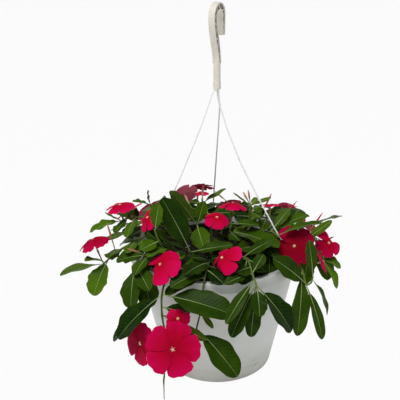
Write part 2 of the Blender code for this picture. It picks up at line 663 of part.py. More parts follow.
def stem_tube(route, sides=5, steps=2):
    stations = [0.0, *(1 + k / steps for k in range(steps * (len(route) - 2) + 1))]
    points = [curve_point(route, station) for station in stations]
    first, last = STEM_RADII
    radii = [first + (last - first) * station / (len(route) - 1) for station in stations]
    return tube(points, radii, sides)


def root(route, joint):
    """Where a leaf or a stalk starts: in the stem's middle, and never at its very end."""
    return curve_point(route, min(joint + 1.0, len(route) - 1.15))


def bloom_frame(facing, turn):
    """A turn that takes +Z to the way the bloom faces."""
    facing = Vector(facing).normalized()
    return facing, facing.to_track_quat("Z", "Y").to_matrix() @ Matrix.Rotation(math.radians(turn), 3, "Z")


def petal_place(radius, angle, droop, reach, lower=0.0):
    """A place on a drooping disc or under it, at a distance from its middle along the petal."""
    bend = math.radians(max(droop, 0.5))
    slope = bend * radius / reach
    flat = reach * math.sin(slope) / bend - lower * math.sin(slope)
    drop = reach * (1.0 - math.cos(slope)) / bend + lower * math.cos(slope)
    return Vector((flat * math.cos(angle), flat * math.sin(angle), -drop))


def quad_or_less(bm, corners):
    """Fills corners that may fall together, in triangles."""
    corners = list(dict.fromkeys(corners))
    for a, b in pairwise(corners[1:]):
        bm.faces.new((corners[0], a, b))


def corolla(reach, droops, tube_length):
    """Five lobes cut well in, each with its leading edge lifted, over a slender tube."""
    bm = bmesh.new()
    inner, outer = ([], []), ([], [])
    for side, lower in ((0, 0.0), (1, PETAL)):
        for petal in range(PETALS):
            for offset, extent, lift in ((-36, 0.52, 0), (-29, 0.88, -1), (-2, 1.0, 0), (28, 0.92, 1)):
                angle = math.tau * petal / PETALS + math.radians(offset)
                droop = droops[petal]
                if offset == -36:
                    droop = (droop + droops[petal - 1]) / 2
                place = petal_place(extent * reach, angle, droop, reach, lower)
                place.z += lift * 0.03 * reach
                edge = bm.verts.new(place)
                middle = edge
                if droop >= DROOPING and offset != -36:
                    middle = bm.verts.new(petal_place(0.45 * reach, angle, droop, reach, lower))
                inner[side].append(middle)
                outer[side].append(edge)
    count = len(outer[0])
    centre = bm.verts.new((0.0, 0.0, 0.0006))
    rings = []
    for radius, height in ((TUBE_RADII[1], -2 * PETAL), (TUBE_RADII[0], -tube_length)):
        rings.append([bm.verts.new(polar(radius, 360 * k / PETALS, height)) for k in range(PETALS)])
    throat, foot = rings
    for k in range(count):
        after = (k + 1) % count
        petal = k // 4
        bm.faces.new((centre, inner[0][k], inner[0][after]))
        bm.faces.new((throat[petal], inner[1][k], inner[1][after]))
        quad_or_less(bm, (inner[0][k], outer[0][k], outer[0][after], inner[0][after]))
        quad_or_less(bm, (inner[1][k], outer[1][k], outer[1][after], inner[1][after]))
        quad_or_less(bm, (outer[0][k], outer[0][after], outer[1][after], outer[1][k]))
    for petal in range(PETALS):
        after = (petal + 1) % PETALS
        bm.faces.new((throat[petal], throat[after], inner[1][4 * after]))
        quad_or_less(bm, (throat[petal], throat[after], foot[after], foot[petal]))
    bm.faces.new(foot)
    return bm


def build_bloom(name, bloom, finish):
    _, _, middle, facing, width, droops, length, turn = bloom
    _, basis = bloom_frame(facing, turn)
    if not isinstance(droops, tuple):
        droops = (droops,) * PETALS
    bm = corolla(width * MM / 2, droops, length * MM)
    bmesh.ops.transform(bm, matrix=Matrix.Translation(at_rim(middle)) @ basis.to_4x4(), verts=bm.verts)
    return finished(name, bm, finish)


def stalk_points(bloom, route):
    """A flower stalk's points, from the stem to just short of the bloom's tube, end on to it."""
    _, joint, middle, facing, _, _, length, _ = bloom
    facing = Vector(facing).normalized()
    start = root(route, joint)
    end = at_rim(middle) - facing * (length * MM + GAP)
    low = end - facing * 0.0025
    knee = low - facing * 0.45 * (low - start).length
    return [start * (1 - t) ** 2 + knee * 2 * t * (1 - t) + low * t * t for t in (0.0, 0.5, 1.0)] + [end]


def bud_tube(start, tip):
    along = tip - start
    shares = (0.0, 0.6, 1.0)
    radii = (STALK_RADIUS * 0.7, BUD_RADIUS, 0.0004)
    return tube([start + along * share for share in shares], radii, 5)


def blade_faces(rows, columns):
    """Triangles over rows of points and one tip, alike on either face."""
    faces = []
    for row in range(rows - 1):
        for column in range(columns - 1):
            a = columns * row + column
            faces += [(a, a + 1, a + columns + 1), (a, a + columns + 1, a + columns)]
    last = columns * (rows - 1)
    return faces + [(last + k, last + k + 1, columns * rows) for k in range(columns - 1)]


def leaf_blade(leaf):
    """A closed blade of even thickness."""
    rows, tip = leaf.grid()
    bm = bmesh.new()
    verts = [bm.verts.new(place - normal * BLADE / 2) for row in rows for place, normal in row]
    verts.append(bm.verts.new(tip[0] - tip[1] * BLADE / 2))
    for face in blade_faces(len(rows), len(rows[0])):
        bm.faces.new([verts[k] for k in face])
    bmesh.ops.recalc_face_normals(bm, faces=bm.faces)
    bmesh.ops.solidify(bm, geom=bm.faces[:], thickness=BLADE)
    return finished("leaf", bm)


def leaf_envelope(leaf, first_row=0):
    """A thick stand-in for the blade, for finding what it would cross."""
    rows, tip = leaf.grid()
    rows = rows[first_row:]
    columns = len(rows[0])
    points = []
    for side in (1.0, -1.0):
        points += [place + normal * side * BLADE_CLEARANCE / 2 for row in rows for place, normal in row]
        points.append(tip[0] + tip[1] * side * BLADE_CLEARANCE / 2)
    half = columns * len(rows) + 1
    top = blade_faces(len(rows), columns)
    faces = top + [tuple(k + half for k in face) for face in top]
    for edge in (0, columns - 1):
        side = [columns * k + edge for k in range(len(rows))] + [half - 1]
        for a, b in pairwise(side):
            faces += [(a, b, b + half), (a, b + half, a + half)]
    return BVHTree.FromPolygons(points, faces, all_triangles=True)


def crown_top(place):
    """How high a leaf's tip may stand: the crown falls away towards the back."""
    return POT_HEIGHT + CROWN_HEIGHT - CROWN_FALL * place.y


def leanings():
    """Small turns about a leaf's base, the smallest first."""
    yield 0.0, 0.0
    for ring in range(1, 10):
        for k in range(8):
            angle = math.tau * k / 8 + 0.4 * ring
            yield 5.0 * ring * math.cos(angle), 5.0 * ring * math.sin(angle)


def bent_clear(leaf, obstacles):
    """The leaf turned, and if need be shortened, until it crosses nothing, or None."""
    for shrink in (1.0, 0.86, 0.72, 0.6):
        for sideways, lift in leanings():
            tried = leaf.leaned(sideways, lift, shrink)
            if tried.tip.z > max(leaf.tip.z, crown_top(tried.tip)) + 0.002:
                continue
            whole, outer = leaf_envelope(tried), leaf_envelope(tried, 1)
            if any(tree.overlap(whole) for tree, _, owner in obstacles if owner != leaf.stem):
                continue
            if any(tree.overlap(outer) for _, tree, owner in obstacles if owner == leaf.stem):
                continue
            return tried
    return None


def spread(seed):
    """A steady number from 0 to 1 that looks drawn at random."""
    value = math.sin(seed * 12.9898) * 43758.5453
    return value - math.floor(value)


def paired_leaves(routes):
    """The leaves set by rule: opposite pairs, each pair a quarter turn from the last."""
    for stem, joints, size in LEAF_PAIRS:
        route = routes[stem - 1]
        for order, joint in enumerate(joints):
            base = root(route, joint)
            along = curve_direction(route, joint + 1.0)
            level = along.cross(Vector((0.0, 0.0, 1.0))).normalized()
            turn = Matrix.Rotation(math.radians(90 * order + 40 * spread(stem + 0.37 * order) - 20), 3, along)
            for side in (1.0, -1.0):
                draw = stem * 7.1 + order * 3.3 + side
                length = size * MM * (0.85 + 0.3 * spread(draw))
                way = (along * 0.45 + turn @ level * side * 0.9 + Vector((0, 0, 0.12))).normalized()
                tip = base + way * length
                tip.z = min(tip.z - 0.18 * length, crown_top(tip))
                width = length * (0.38 + 0.08 * spread(draw + 5))
                yield Leaf(stem, base, tip, width, 24 * spread(draw + 9) - 12, 18 + 18 * spread(draw + 2))


def tree_of(item):
    bm = bmesh.new()
    bm.from_mesh(item.data)
    tree = BVHTree.FromBMesh(bm)
    bm.free()
    return tree


def placed_leaves(routes, obstacles):
    """Every leaf, each bent clear of what is already there."""
    wanted = []
    for table, folded in ((LEAVES, True), (SHADED_LEAVES, False)):
        for stem, joint, tip, width, roll, arch in table:
            base = root(routes[stem - 1], joint)
            wanted.append(Leaf(stem, base, at_rim(tip), width * MM, roll, arch, folded and width > 15))
    grown = []
    for leaf in [*wanted, *paired_leaves(routes)]:
        clear = bent_clear(leaf, obstacles)
        if clear:
            grown.append(clear)
            obstacles.append((leaf_envelope(clear), leaf_envelope(clear, 1), clear.stem))
    return grown


def main():
    clear_scene()
    pot_white = material("white_plastic", (0.62, 0.64, 0.62), 0.42)
    hook_cream = material("cream_plastic", (0.60, 0.57, 0.50), 0.45)
    wire_white = material("coated_wire", (0.78, 0.78, 0.77), 0.35)
    soil_brown = material("potting_mix", (0.035, 0.022, 0.014), 0.95)
    leaf_green = material("leaf", (0.045, 0.115, 0.018), 0.38)
    petal_red = material("petal", (0.62, 0.004, 0.045), 0.55)

    routes = [stem_route(stem) for stem in STEMS]
    fixed = [build_pot(pot_white), build_soil([stem[0] for stem in STEMS], soil_brown), build_hook(hook_cream)]
    fixed += [build_strand(name, wire_white) for name in STRAND_AZIMUTHS]

    stems = [
        finished(f"leafy_stem_{number:02d}", stem_tube(route), leaf_green)
        for number, route in enumerate(routes, 1)
    ]
    joined = {number: [] for number in range(1, len(STEMS) + 1)}
    for bloom in BLOOMS:
        points = stalk_points(bloom, routes[bloom[0] - 1])
        radii = [STALK_RADIUS] * len(points)
        joined[bloom[0]].append(finished("stalk", tube(points, radii, 5)))
    for stem, joint, tip in BUDS:
        start = root(routes[stem - 1], joint)
        joined[stem].append(finished("bud", bud_tube(start, at_rim(tip))))
    blooms = [build_bloom(f"bloom_{number:02d}", bloom, petal_red) for number, bloom in enumerate(BLOOMS, 1)]

    owners = [(item, 0) for item in fixed + blooms]
    for number, stem in enumerate(stems, 1):
        owners += [(item, number) for item in [stem, *joined[number]]]
    obstacles = [(tree_of(item), tree_of(item), owner) for item, owner in owners]
    for leaf in placed_leaves(routes, obstacles):
        joined[leaf.stem].append(leaf_blade(leaf))
    for number, stem in enumerate(stems, 1):
        combined(stem, joined[number], "UNION")


main()
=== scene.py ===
"""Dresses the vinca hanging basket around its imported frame.

Everything is in metres in the frame's own axes. The planting tables are in millimetres from the
middle of the pot's rim, as one measures a hanging plant, and every leaf is set by the same rule as
its solid, so each finished leaf lies where its solid lies.
"""

from __future__ import annotations

import json
import logging
import math
import random
from collections.abc import Callable, Iterator, Sequence
from dataclasses import dataclass, replace
from enum import Enum
from itertools import pairwise

import bmesh
import bpy
from bmesh.types import BMesh, BMFace, BMVert
from bpy.types import Camera, Light, Material, Mesh, NodeSocket, Object
from mathutils import Matrix, Vector, noise
from mathutils.bvhtree import BVHTree

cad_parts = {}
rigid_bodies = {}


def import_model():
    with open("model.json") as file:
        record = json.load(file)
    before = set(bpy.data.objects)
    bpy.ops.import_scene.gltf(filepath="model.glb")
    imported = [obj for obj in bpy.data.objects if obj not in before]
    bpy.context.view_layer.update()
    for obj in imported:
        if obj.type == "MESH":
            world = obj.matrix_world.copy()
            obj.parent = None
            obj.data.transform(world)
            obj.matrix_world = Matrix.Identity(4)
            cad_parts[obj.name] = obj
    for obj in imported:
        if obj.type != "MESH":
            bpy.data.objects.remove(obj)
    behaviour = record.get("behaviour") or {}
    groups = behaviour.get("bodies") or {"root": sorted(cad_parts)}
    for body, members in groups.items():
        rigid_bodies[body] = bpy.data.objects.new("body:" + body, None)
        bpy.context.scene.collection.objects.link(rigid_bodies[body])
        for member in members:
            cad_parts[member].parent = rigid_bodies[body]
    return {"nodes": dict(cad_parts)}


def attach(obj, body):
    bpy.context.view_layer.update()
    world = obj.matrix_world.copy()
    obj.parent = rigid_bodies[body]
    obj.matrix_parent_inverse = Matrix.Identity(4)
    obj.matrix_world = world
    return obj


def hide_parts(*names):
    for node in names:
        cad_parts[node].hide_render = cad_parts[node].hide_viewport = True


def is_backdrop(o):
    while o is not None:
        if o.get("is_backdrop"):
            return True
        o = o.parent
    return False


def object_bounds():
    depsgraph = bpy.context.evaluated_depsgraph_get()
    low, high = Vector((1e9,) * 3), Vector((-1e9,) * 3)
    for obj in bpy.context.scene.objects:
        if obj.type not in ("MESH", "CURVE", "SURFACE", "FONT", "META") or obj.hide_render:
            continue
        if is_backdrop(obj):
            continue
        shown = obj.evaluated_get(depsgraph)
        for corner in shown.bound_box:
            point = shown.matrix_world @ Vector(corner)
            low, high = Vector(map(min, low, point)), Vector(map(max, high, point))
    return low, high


Colour = tuple[float, float, float]
Row = tuple

LOG = logging.getLogger("vinca_basket")
MM = 0.001
GAP = 0.0003
BODY = "root"
POT_HEIGHT = 0.190
SOIL_DROP = 0.018
HOOK_FOOT = 0.228
STRAND_SEAT = 0.1226

# Each stem: its place in the soil, then its leaf joints 1, 2, 3 and on.
STEMS: tuple[Row, ...] = (
    ((-44, -16), (-62, -24, 16), (-98, -36, 26), (-132, -46, 12), (-151, -50, -2), (-160, -53, -10)),
    ((-50, 6), (-66, 4, 18), (-100, -6, 40), (-126, -14, 44), (-136, -18, 41)),
    ((-30, -38), (-46, -50, 6), (-64, -62, 20), (-78, -72, 36), (-84, -73, 54)),
    ((-18, -30), (-24, -50, 2), (-36, -74, 20), (-52, -98, 16), (-66, -118, 4), (-72, -130, -14),
     (-72, -138, -40), (-68, -142, -66), (-64, -141, -90)),
    ((-2, -34), (-8, -66, 4), (-12, -100, 13), (-16, -123, 8), (-19, -134, -12), (-22, -134, -38),
     (-28, -139, -64)),
    ((20, -30), (28, -66, 8), (40, -98, 22), (46, -120, 12), (50, -133, 5), (52, -137, 0)),
    ((42, -22), (66, -44, 14), (100, -62, 14), (116, -76, -4), (121, -88, -21), (128, -88, -19),
     (131, -84, -12)),
    ((60, -4), (88, -22, 18), (120, -38, 18), (136, -42, 4), (148, -40, -8)),
    ((38, 4), (54, -8, 16), (70, -28, 28), (77, -48, 38), (83, -72, 43)),
    ((28, 26), (44, 22, 14), (62, 14, 32), (78, 4, 36)),
    ((20, 2), (32, -6, 14), (44, -18, 40), (46, -24, 60), (47, -26, 70)),
    ((4, -8), (12, -16, 8), (18, -22, 26), (20, -20, 40)),
    ((-14, -8), (-22, -14, 8), (-28, -20, 36), (-25, -8, 50), (-21, 6, 60)),
    ((-30, 20), (-46, 16, 18), (-70, 8, 42), (-92, 2, 54), (-96, 0, 60)),
    ((-44, -34), (-66, -56, 14), (-92, -80, 18), (-112, -94, 8)),
    ((58, 20), (86, 26, 14), (118, 30, 12), (142, 30, -2), (156, 30, -20)),
    ((40, 44), (62, 66, 10), (86, 92, 12), (100, 110, -2), (106, 118, -24)),
    ((6, 52), (14, 84, 8), (20, 112, 12), (22, 134, 2), (24, 146, -22)),
    ((-36, 44), (-54, 70, 10), (-74, 96, 12), (-88, 112, 0), (-94, 122, -24)),
    ((-60, 26), (-86, 32, 12), (-108, 46, 10), (-122, 58, 0), (-130, 68, -16)),
    ((-8, 28), (-10, 44, 12), (-16, 64, 22), (-20, 80, 24)),
)

# Each leaf that shows: stem, joint, tip, width, roll and arch in degrees.
LEAVES: tuple[Row, ...] = (
    (1, 4.0, (-170, -84, -42), 33, -15, 28),
    (1, 5.0, (-223, -45, -32), 24, 55, 20),
    (1, 4.5, (-184, -64, 8), 22, 0, 30),
    (1, 3.0, (-145, -66, 4), 18, 0, 20),
    (2, 4.0, (-181, -20, 25), 24, -5, 25),
    (2, 4.0, (-159, -14, 53), 7, 60, -10),
    (2, 3.0, (-134, -32, 62), 15, 0, 10),
    (2, 2.0, (-129, -46, 32), 22, 0, 25),
    (3, 4.0, (-76, -76, 93), 22, 40, 15),
    (3, 3.0, (-102, -88, 30), 22, -20, 20),
    (3, 2.0, (-95, -98, 14), 26, 0, 25),
    (4, 2.0, (-74, -60, 94), 36, 0, 15),
    (4, 2.0, (21, -90, 33), 20, 0, 10),
    (4, 2.0, (-60, -96, 44), 18, 0, 10),
    (4, 5.0, (-130, -150, -68), 38, 0, 25),
    (4, 5.0, (-140, -128, -86), 28, 0, 20),
    (4, 5.0, (20, -157, -36), 41, 8, 25),
    (4, 6.0, (-8, -154, -56), 14, 50, 10),
    (4, 5.6, (-34, -134, -46), 20, 45, 15),
    (4, 7.6, (-71, -158, -160), 14, 70, 10),
    (5, 2.4, (-60, -136, 0), 28, 0, 25),
    (5, 3.0, (-69, -124, -16), 22, 0, 20),
    (5, 6.0, (27, -175, -110), 38, 0, 28),
    (5, 5.0, (-5, -154, -50), 8, 0, 20),
    (6, 4.6, (98, -144, -61), 38, 0, 25),
    (6, 4.0, (44, -156, -62), 23, 0, 20),
    (6, 3.6, (6, -164, -36), 17, 0, 35),
    (6, 4.2, (18, -158, -60), 24, 0, 25),
    (6, 4.6, (60, -150, -34), 22, 0, 25),
    (6, 3.0, (9, -142, 8), 16, 0, 20),
    (6, 3.0, (62, -96, 28), 17, 0, 10),
    (7, 3.0, (108, -126, -80), 27, 0, 20),
    (7, 4.0, (146, -102, -101), 18, 30, 25),
    (7, 6.0, (122, -90, 46), 18, -60, 15),
    (7, 5.6, (153, -86, -72), 18, 0, 30),
    (7, 4.0, (74, -100, 24), 28, -40, 30),
    (8, 4.0, (175, -46, -19), 25, 0, 25),
    (8, 3.6, (168, -64, -42), 19, 0, 40),
    (8, 2.0, (155, -15, 48), 12, 50, -10),
    (9, 4.0, (144, -50, 53), 24, -25, 20),
    (9, 2.6, (119, -10, 61), 20, 0, 20),
    (9, 2.6, (105, -26, 62), 15, 0, 10),
    (10, 3.0, (84, -8, 58), 18, 0, 10),
    (11, 4.0, (55, -20, 79), 9, 0, 10),
    (11, 4.0, (69, -22, 92), 6, 60, -25),
    (11, 4.0, (25, -18, 89), 5, 60, 0),
    (11, 3.0, (62, -30, 72), 14, 0, 20),
    (11, 3.0, (60, -36, 54), 15, 0, 20),
    (12, 2.0, (88, -76, 28), 35, 0, 25),
    (12, 3.0, (64, -24, 42), 22, 0, 20),
    (12, 3.0, (-17, -38, 57), 6, 60, 10),
    (13, 2.0, (-18, -20, 73), 18, 60, 15),
    (13, 2.0, (-18, -60, 18), 29, 0, 35),
    (13, 2.0, (-63, -48, 100), 18, 45, 10),
    (13, 4.0, (-43, 20, 69), 14, 0, 20),
    (13, 4.0, (13, 30, 72), 14, 5, 10),
    (14, 4.0, (-98, 0, 82), 15, 0, 10),
    (14, 4.0, (-120, -6, 66), 18, 0, 15),
    (14, 3.0, (-72, -14, 74), 18, 0, 20),
    (15, 3.0, (-110, -130, -35), 30, 0, 30),
    (15, 2.0, (-108, -118, 8), 20, 0, 25),
    (15, 2.0, (-136, -86, 12), 26, 0, 30),
    (15, 3.0, (-88, -130, -8), 24, 0, 30),
)

# The shaded leaves behind them, in the same terms.
SHADED_LEAVES: tuple[Row, ...] = (
    (15, 1.2, (-100, -86, 36), 26, 0, 15),
    (15, 2.4, (-84, -134, -26), 32, 0, 30),
    (14, 1.2, (-18, 44, 28), 28, 25, 15),
    (3, 1.8, (-100, -46, 50), 22, 0, 20),
    (15, 1.6, (-86, -122, -4), 26, 0, 30),
    (5, 1.6, (-42, -136, 0), 26, 0, 25),
    (13, 1.0, (-64, -60, 44), 26, 0, 20),
    (13, 1.2, (-8, -62, 38), 24, 0, 20),
    (12, 2.0, (34, -50, 30), 22, 0, 20),
    (12, 1.0, (-4, -88, 14), 26, 0, 25),
    (12, 1.0, (46, -82, 8), 26, 0, 25),
    (7, 1.0, (92, -86, 20), 26, 0, 25),
    (8, 1.3, (116, -58, 12), 24, 0, 25),
    (8, 2.0, (136, -68, 0), 22, 0, 25),
    (3, 1.6, (-86, -70, 50), 22, 0, 10),
    (2, 1.6, (-122, -40, 22), 26, 0, 20),
    (1, 2.2, (-132, -10, 22), 24, 0, 20),
    (12, 1.0, (7, -44, 34), 26, 0, 15),
    (6, 1.0, (26, -78, 38), 26, 0, 10),
    (7, 1.0, (30, -76, 26), 26, 0, 15),
    (6, 2.0, (28, -122, -4), 24, 0, 20),
    (5, 1.0, (-30, -84, 32), 22, 0, 10),
    (7, 1.0, (72, -64, 36), 24, 0, 10),
    (5, 1.0, (-28, -110, -2), 26, 0, 25),
    (5, 1.2, (14, -114, 0), 24, 0, 25),
    (6, 1.0, (32, -108, 4), 26, 0, 25),
    (1, 2.0, (-124, -84, 8), 26, 0, 25),
    (1, 3.0, (-148, -84, 6), 22, 0, 25),
    (3, 1.0, (-36, -98, 14), 26, 0, 25),
    (14, 1.6, (-98, -32, 46), 26, 0, 20),
    (9, 1.3, (98, -36, 24), 24, 0, 20),
    (6, 1.2, (66, -106, 6), 26, 0, 25),
    (6, 2.6, (24, -128, 14), 24, 0, 25),
    (6, 2.0, (62, -112, 12), 24, 0, 20),
    (5, 2.4, (9, -138, 6), 22, 0, 25),
    (7, 1.2, (72, -98, 8), 26, 0, 20),
    (6, 1.0, (-4, -100, 22), 24, 0, 25),
    (2, 1.2, (-96, -30, 30), 26, 0, 20),
    (2, 3.0, (-142, -42, 34), 20, 0, 20),
    (11, 1.2, (-4, 18, 38), 22, 0, 15),
    (18, 1.0, (-34, 84, 12), 28, -50, 15),
    (18, 1.4, (56, 88, 12), 28, 50, 15),
    (21, 2.0, (-62, 76, 14), 26, -50, 15),
    (21, 1.6, (28, 60, 20), 26, 50, 15),
    (17, 1.0, (26, 62, 14), 26, -50, 15),
    (17, 1.2, (110, 62, 14), 26, 50, 15),
    (19, 1.0, (-96, 58, 12), 26, -50, 15),
    (10, 1.4, (90, 2, 26), 24, 0, 20),
    (21, 2.0, (14, 74, 24), 26, 0, 20),
    (18, 1.2, (52, 66, 28), 28, 0, 20),
    (16, 1.2, (114, 4, 30), 26, 0, 20),
    (20, 1.2, (-86, 4, 34), 26, 0, 20),
)

# Joints that carry a pair of leaves set by rule: stem, joints and leaf length.
LEAF_PAIRS: tuple[Row, ...] = (
    (1, (2.4,), 52), (2, (2.5,), 48), (3, (1.5,), 48), (4, (3.3,), 54), (6, (1.6,), 50),
    (8, (2.6,), 52), (9, (1.7,), 48), (10, (2.6,), 48), (11, (1.7,), 42), (14, (2.4,), 46),
    (16, (1.6, 2.6, 3.7), 60), (17, (1.9, 3.2), 62), (18, (1.6, 2.7, 3.8), 60),
    (19, (1.7, 3.2), 62), (20, (1.7, 2.7, 3.8), 56), (21, (3.0,), 46),
)

# Each bloom: stem, joint, middle, the way it faces, width, droop of its petals, tube and turn.
# Where one petal is folded back the droops stand one by one.
BLOOMS: tuple[Row, ...] = (
    (2, 4.0, (-137, -15, 66), (-0.15, 0.02, 0.99), 46, 35, 22, 46),
    (2, 2.0, (-96, -46, 60), (-0.70, -0.30, 0.65), 46, 35, 20, 60),
    (1, 5.0, (-173, -48, 28), (-0.35, 0.10, 0.93), 54, 50, 22, 64),
    (3, 2.0, (-75, -114, 23), (-0.47, -0.39, 0.79), 62, (45, 45, 40, 100, 45), 18, 19),
    (5, 2.0, (6, -118, 35), (-0.50, -0.30, 0.81), 58, (30, 60, 80, 125, 70), 22, 58),
    (12, 3.0, (23, 4, 61), (0.10, 0.30, 0.95), 50, 50, 16, 36),
    (12, 2.6, (0, -36, 56), (0.10, -0.30, 0.95), 42, 50, 16, 45),
    (13, 4.0, (-20, 13, 83), (0.05, 0.60, 0.80), 36, 12, 22, 69),
    (13, 3.4, (-47, 8, 73), (-0.35, 0.83, 0.43), 42, 10, 22, 2),
    (10, 2.5, (75, 0, 60), (-0.05, 0.28, 0.96), 32, 15, 20, 5),
    (10, 3.0, (103, 2, 58), (0.10, 0.45, 0.89), 28, 15, 22, 35),
    (8, 1.6, (105, -70, 28), (-0.05, -0.75, 0.66), 62, (5, 5, 60, 30, 20), 20, 42),
    (8, 3.0, (158, -36, 16), (0.45, -0.55, 0.70), 46, (85, 25, 75, 45, 25), 20, 22),
    (8, 3.2, (146, -72, 6), (0.90, -0.05, 0.42), 38, 20, 14, 47),
    (4, 8.0, (-57, -172, -70), (0.02, -0.83, 0.55), 76, 0, 26, 2),
    (4, 7.0, (-102, -146, -78), (-0.72, -0.66, 0.20), 64, 5, 24, 66),
    (4, 6.0, (-51, -146, -40), (0.02, -0.83, 0.55), 34, (5, 70, 30, 5, 5), 12, 2),
    (16, 3.0, (152, 48, -4), (0.55, 0.50, 0.67), 50, 10, 24, 0),
    (17, 4.0, (122, 128, -8), (0.50, 0.65, 0.57), 56, 5, 26, 10),
    (18, 4.0, (26, 168, -20), (0.05, 0.85, 0.52), 60, 5, 24, 20),
    (19, 4.0, (-108, 132, -6), (-0.50, 0.65, 0.57), 56, 5, 26, 30),
    (20, 2.0, (-136, 64, 22), (-0.55, 0.25, 0.80), 50, 10, 22, 50),
    (21, 2.4, (-30, 78, 46), (0.00, 0.20, 0.98), 40, 10, 18, 0),
)

# Slender unopened buds: stem, joint and tip.
BUDS: tuple[Row, ...] = (
    (1, 3.4, (-151, -50, 53)), (15, 2.0, (-118, -104, 41)), (11, 4.0, (36, -20, 87)),
    (11, 4.0, (43, -25, 92)), (10, 2.0, (80, 30, 64)), (9, 2.4, (112, -18, 72)),
    (8, 2.0, (150, -12, 52)), (16, 4.0, (176, 34, -8)), (18, 3.0, (-4, 148, 20)),
)

# How pale the undersides of some blooms are, by number, where 0.1 is usual.
PALE_UNDERSIDES: dict[int, float] = {4: 0.8, 9: 1.0, 11: 0.4, 14: 0.3, 16: 0.6}

# How much painted shade darkens some blooms, by number, where 0 is usual.
PAINTED_SHADE_BLOOMS: dict[int, float] = {
    3: 0.35, 12: 0.70, 13: 0.25, 14: 0.30, 15: 0.26, 16: 0.42, 17: 0.22,
}

# The stems that are old and dark all the way.
OLD_STEMS: tuple[int, ...] = (4, 5)

# How light each stem's leaves are, from 0 for old dark ones to 1 for fresh ones.
TONES: tuple[float, ...] = (
    0.85, 0.75, 0.75, 0.20, 0.12, 0.15, 0.32, 0.72, 0.45, 0.45, 0.60,
    0.40, 0.68, 0.60, 0.40, 0.35, 0.30, 0.35, 0.40, 0.45, 0.40,
)


class Strand(Enum):
    """The three strands and the azimuth of each one's hole in the rim."""

    LEFT = 210.0
    RIGHT = 330.0
    BACK = 93.0


# The bow of each strand in millimetres: radius, height over the rim and how far it is pushed to +X.
STRAND_BOWS: dict[Strand, tuple[tuple[int, int, int], ...]] = {
    Strand.LEFT: ((8, 221, 0), (12, 210, 0), (26, 177, 0), (61, 106, 0)),
    Strand.RIGHT: ((3, 220, 0), (5, 204, 0), (15, 176, 0), (38, 128, 0), (64, 86, 0), (93, 41, 0)),
    Strand.BACK: ((4, 213, 2), (6, 204, 4), (10, 194, 4), (61, 106, 2)),
}


class Slot(Enum):
    """The record's material slots."""

    POT = "white_plastic"
    SOIL = "potting_mix"
    HOOK = "cream_plastic"
    WIRE = "coated_wire"
    LEAF = "leaf"
    PETAL = "petal"


class Ring(Enum):
    """Which layer of the plant a leaf belongs to."""

    SHOWN = 0
    SHADED = 1
    PAIRED = 2


# --- shader maths


class Value:
    """A shader socket that can be worked with as a number."""

    def __init__(self, shade: Shade, socket: NodeSocket) -> None:
        """Keeps the socket and the material that it belongs to."""
        self.shade = shade
        self.socket = socket

    def _maths(self, operation: str, *terms: Value | float) -> Value:
        """One Math node on one or two terms."""
        return self.shade.node("ShaderNodeMath", {"operation": operation}, dict(enumerate(terms)))

    def __add__(self, other: Value | float) -> Value:
        """Adds."""
        return self._maths("ADD", self, other)

    __radd__ = __add__

    def __sub__(self, other: Value | float) -> Value:
        """Subtracts."""
        return self._maths("SUBTRACT", self, other)

    def __rsub__(self, other: float) -> Value:
        """Subtracts this from a number."""
        return self._maths("SUBTRACT", other, self)

    def __mul__(self, other: Value | float) -> Value:
        """Multiplies."""
        return self._maths("MULTIPLY", self, other)

    __rmul__ = __mul__

    def __truediv__(self, other: Value | float) -> Value:
        """Divides."""
        return self._maths("DIVIDE", self, other)

    def __abs__(self) -> Value:
        """The size without its sign."""
        return self._maths("ABSOLUTE", self)

    def fraction(self) -> Value:
        """The part after the point."""
        return self._maths("FRACT", self)

    def sign(self) -> Value:
        """Minus one, nought or one."""
        return self._maths("SIGN", self)

    def ease(self, low: float, high: float) -> Value:
        """A soft step, 0 at the low value and 1 at the high one."""
        values = {"Value": self, "From Min": low, "From Max": high}
        return self.shade.node("ShaderNodeMapRange", {"interpolation_type": "SMOOTHSTEP"}, values)


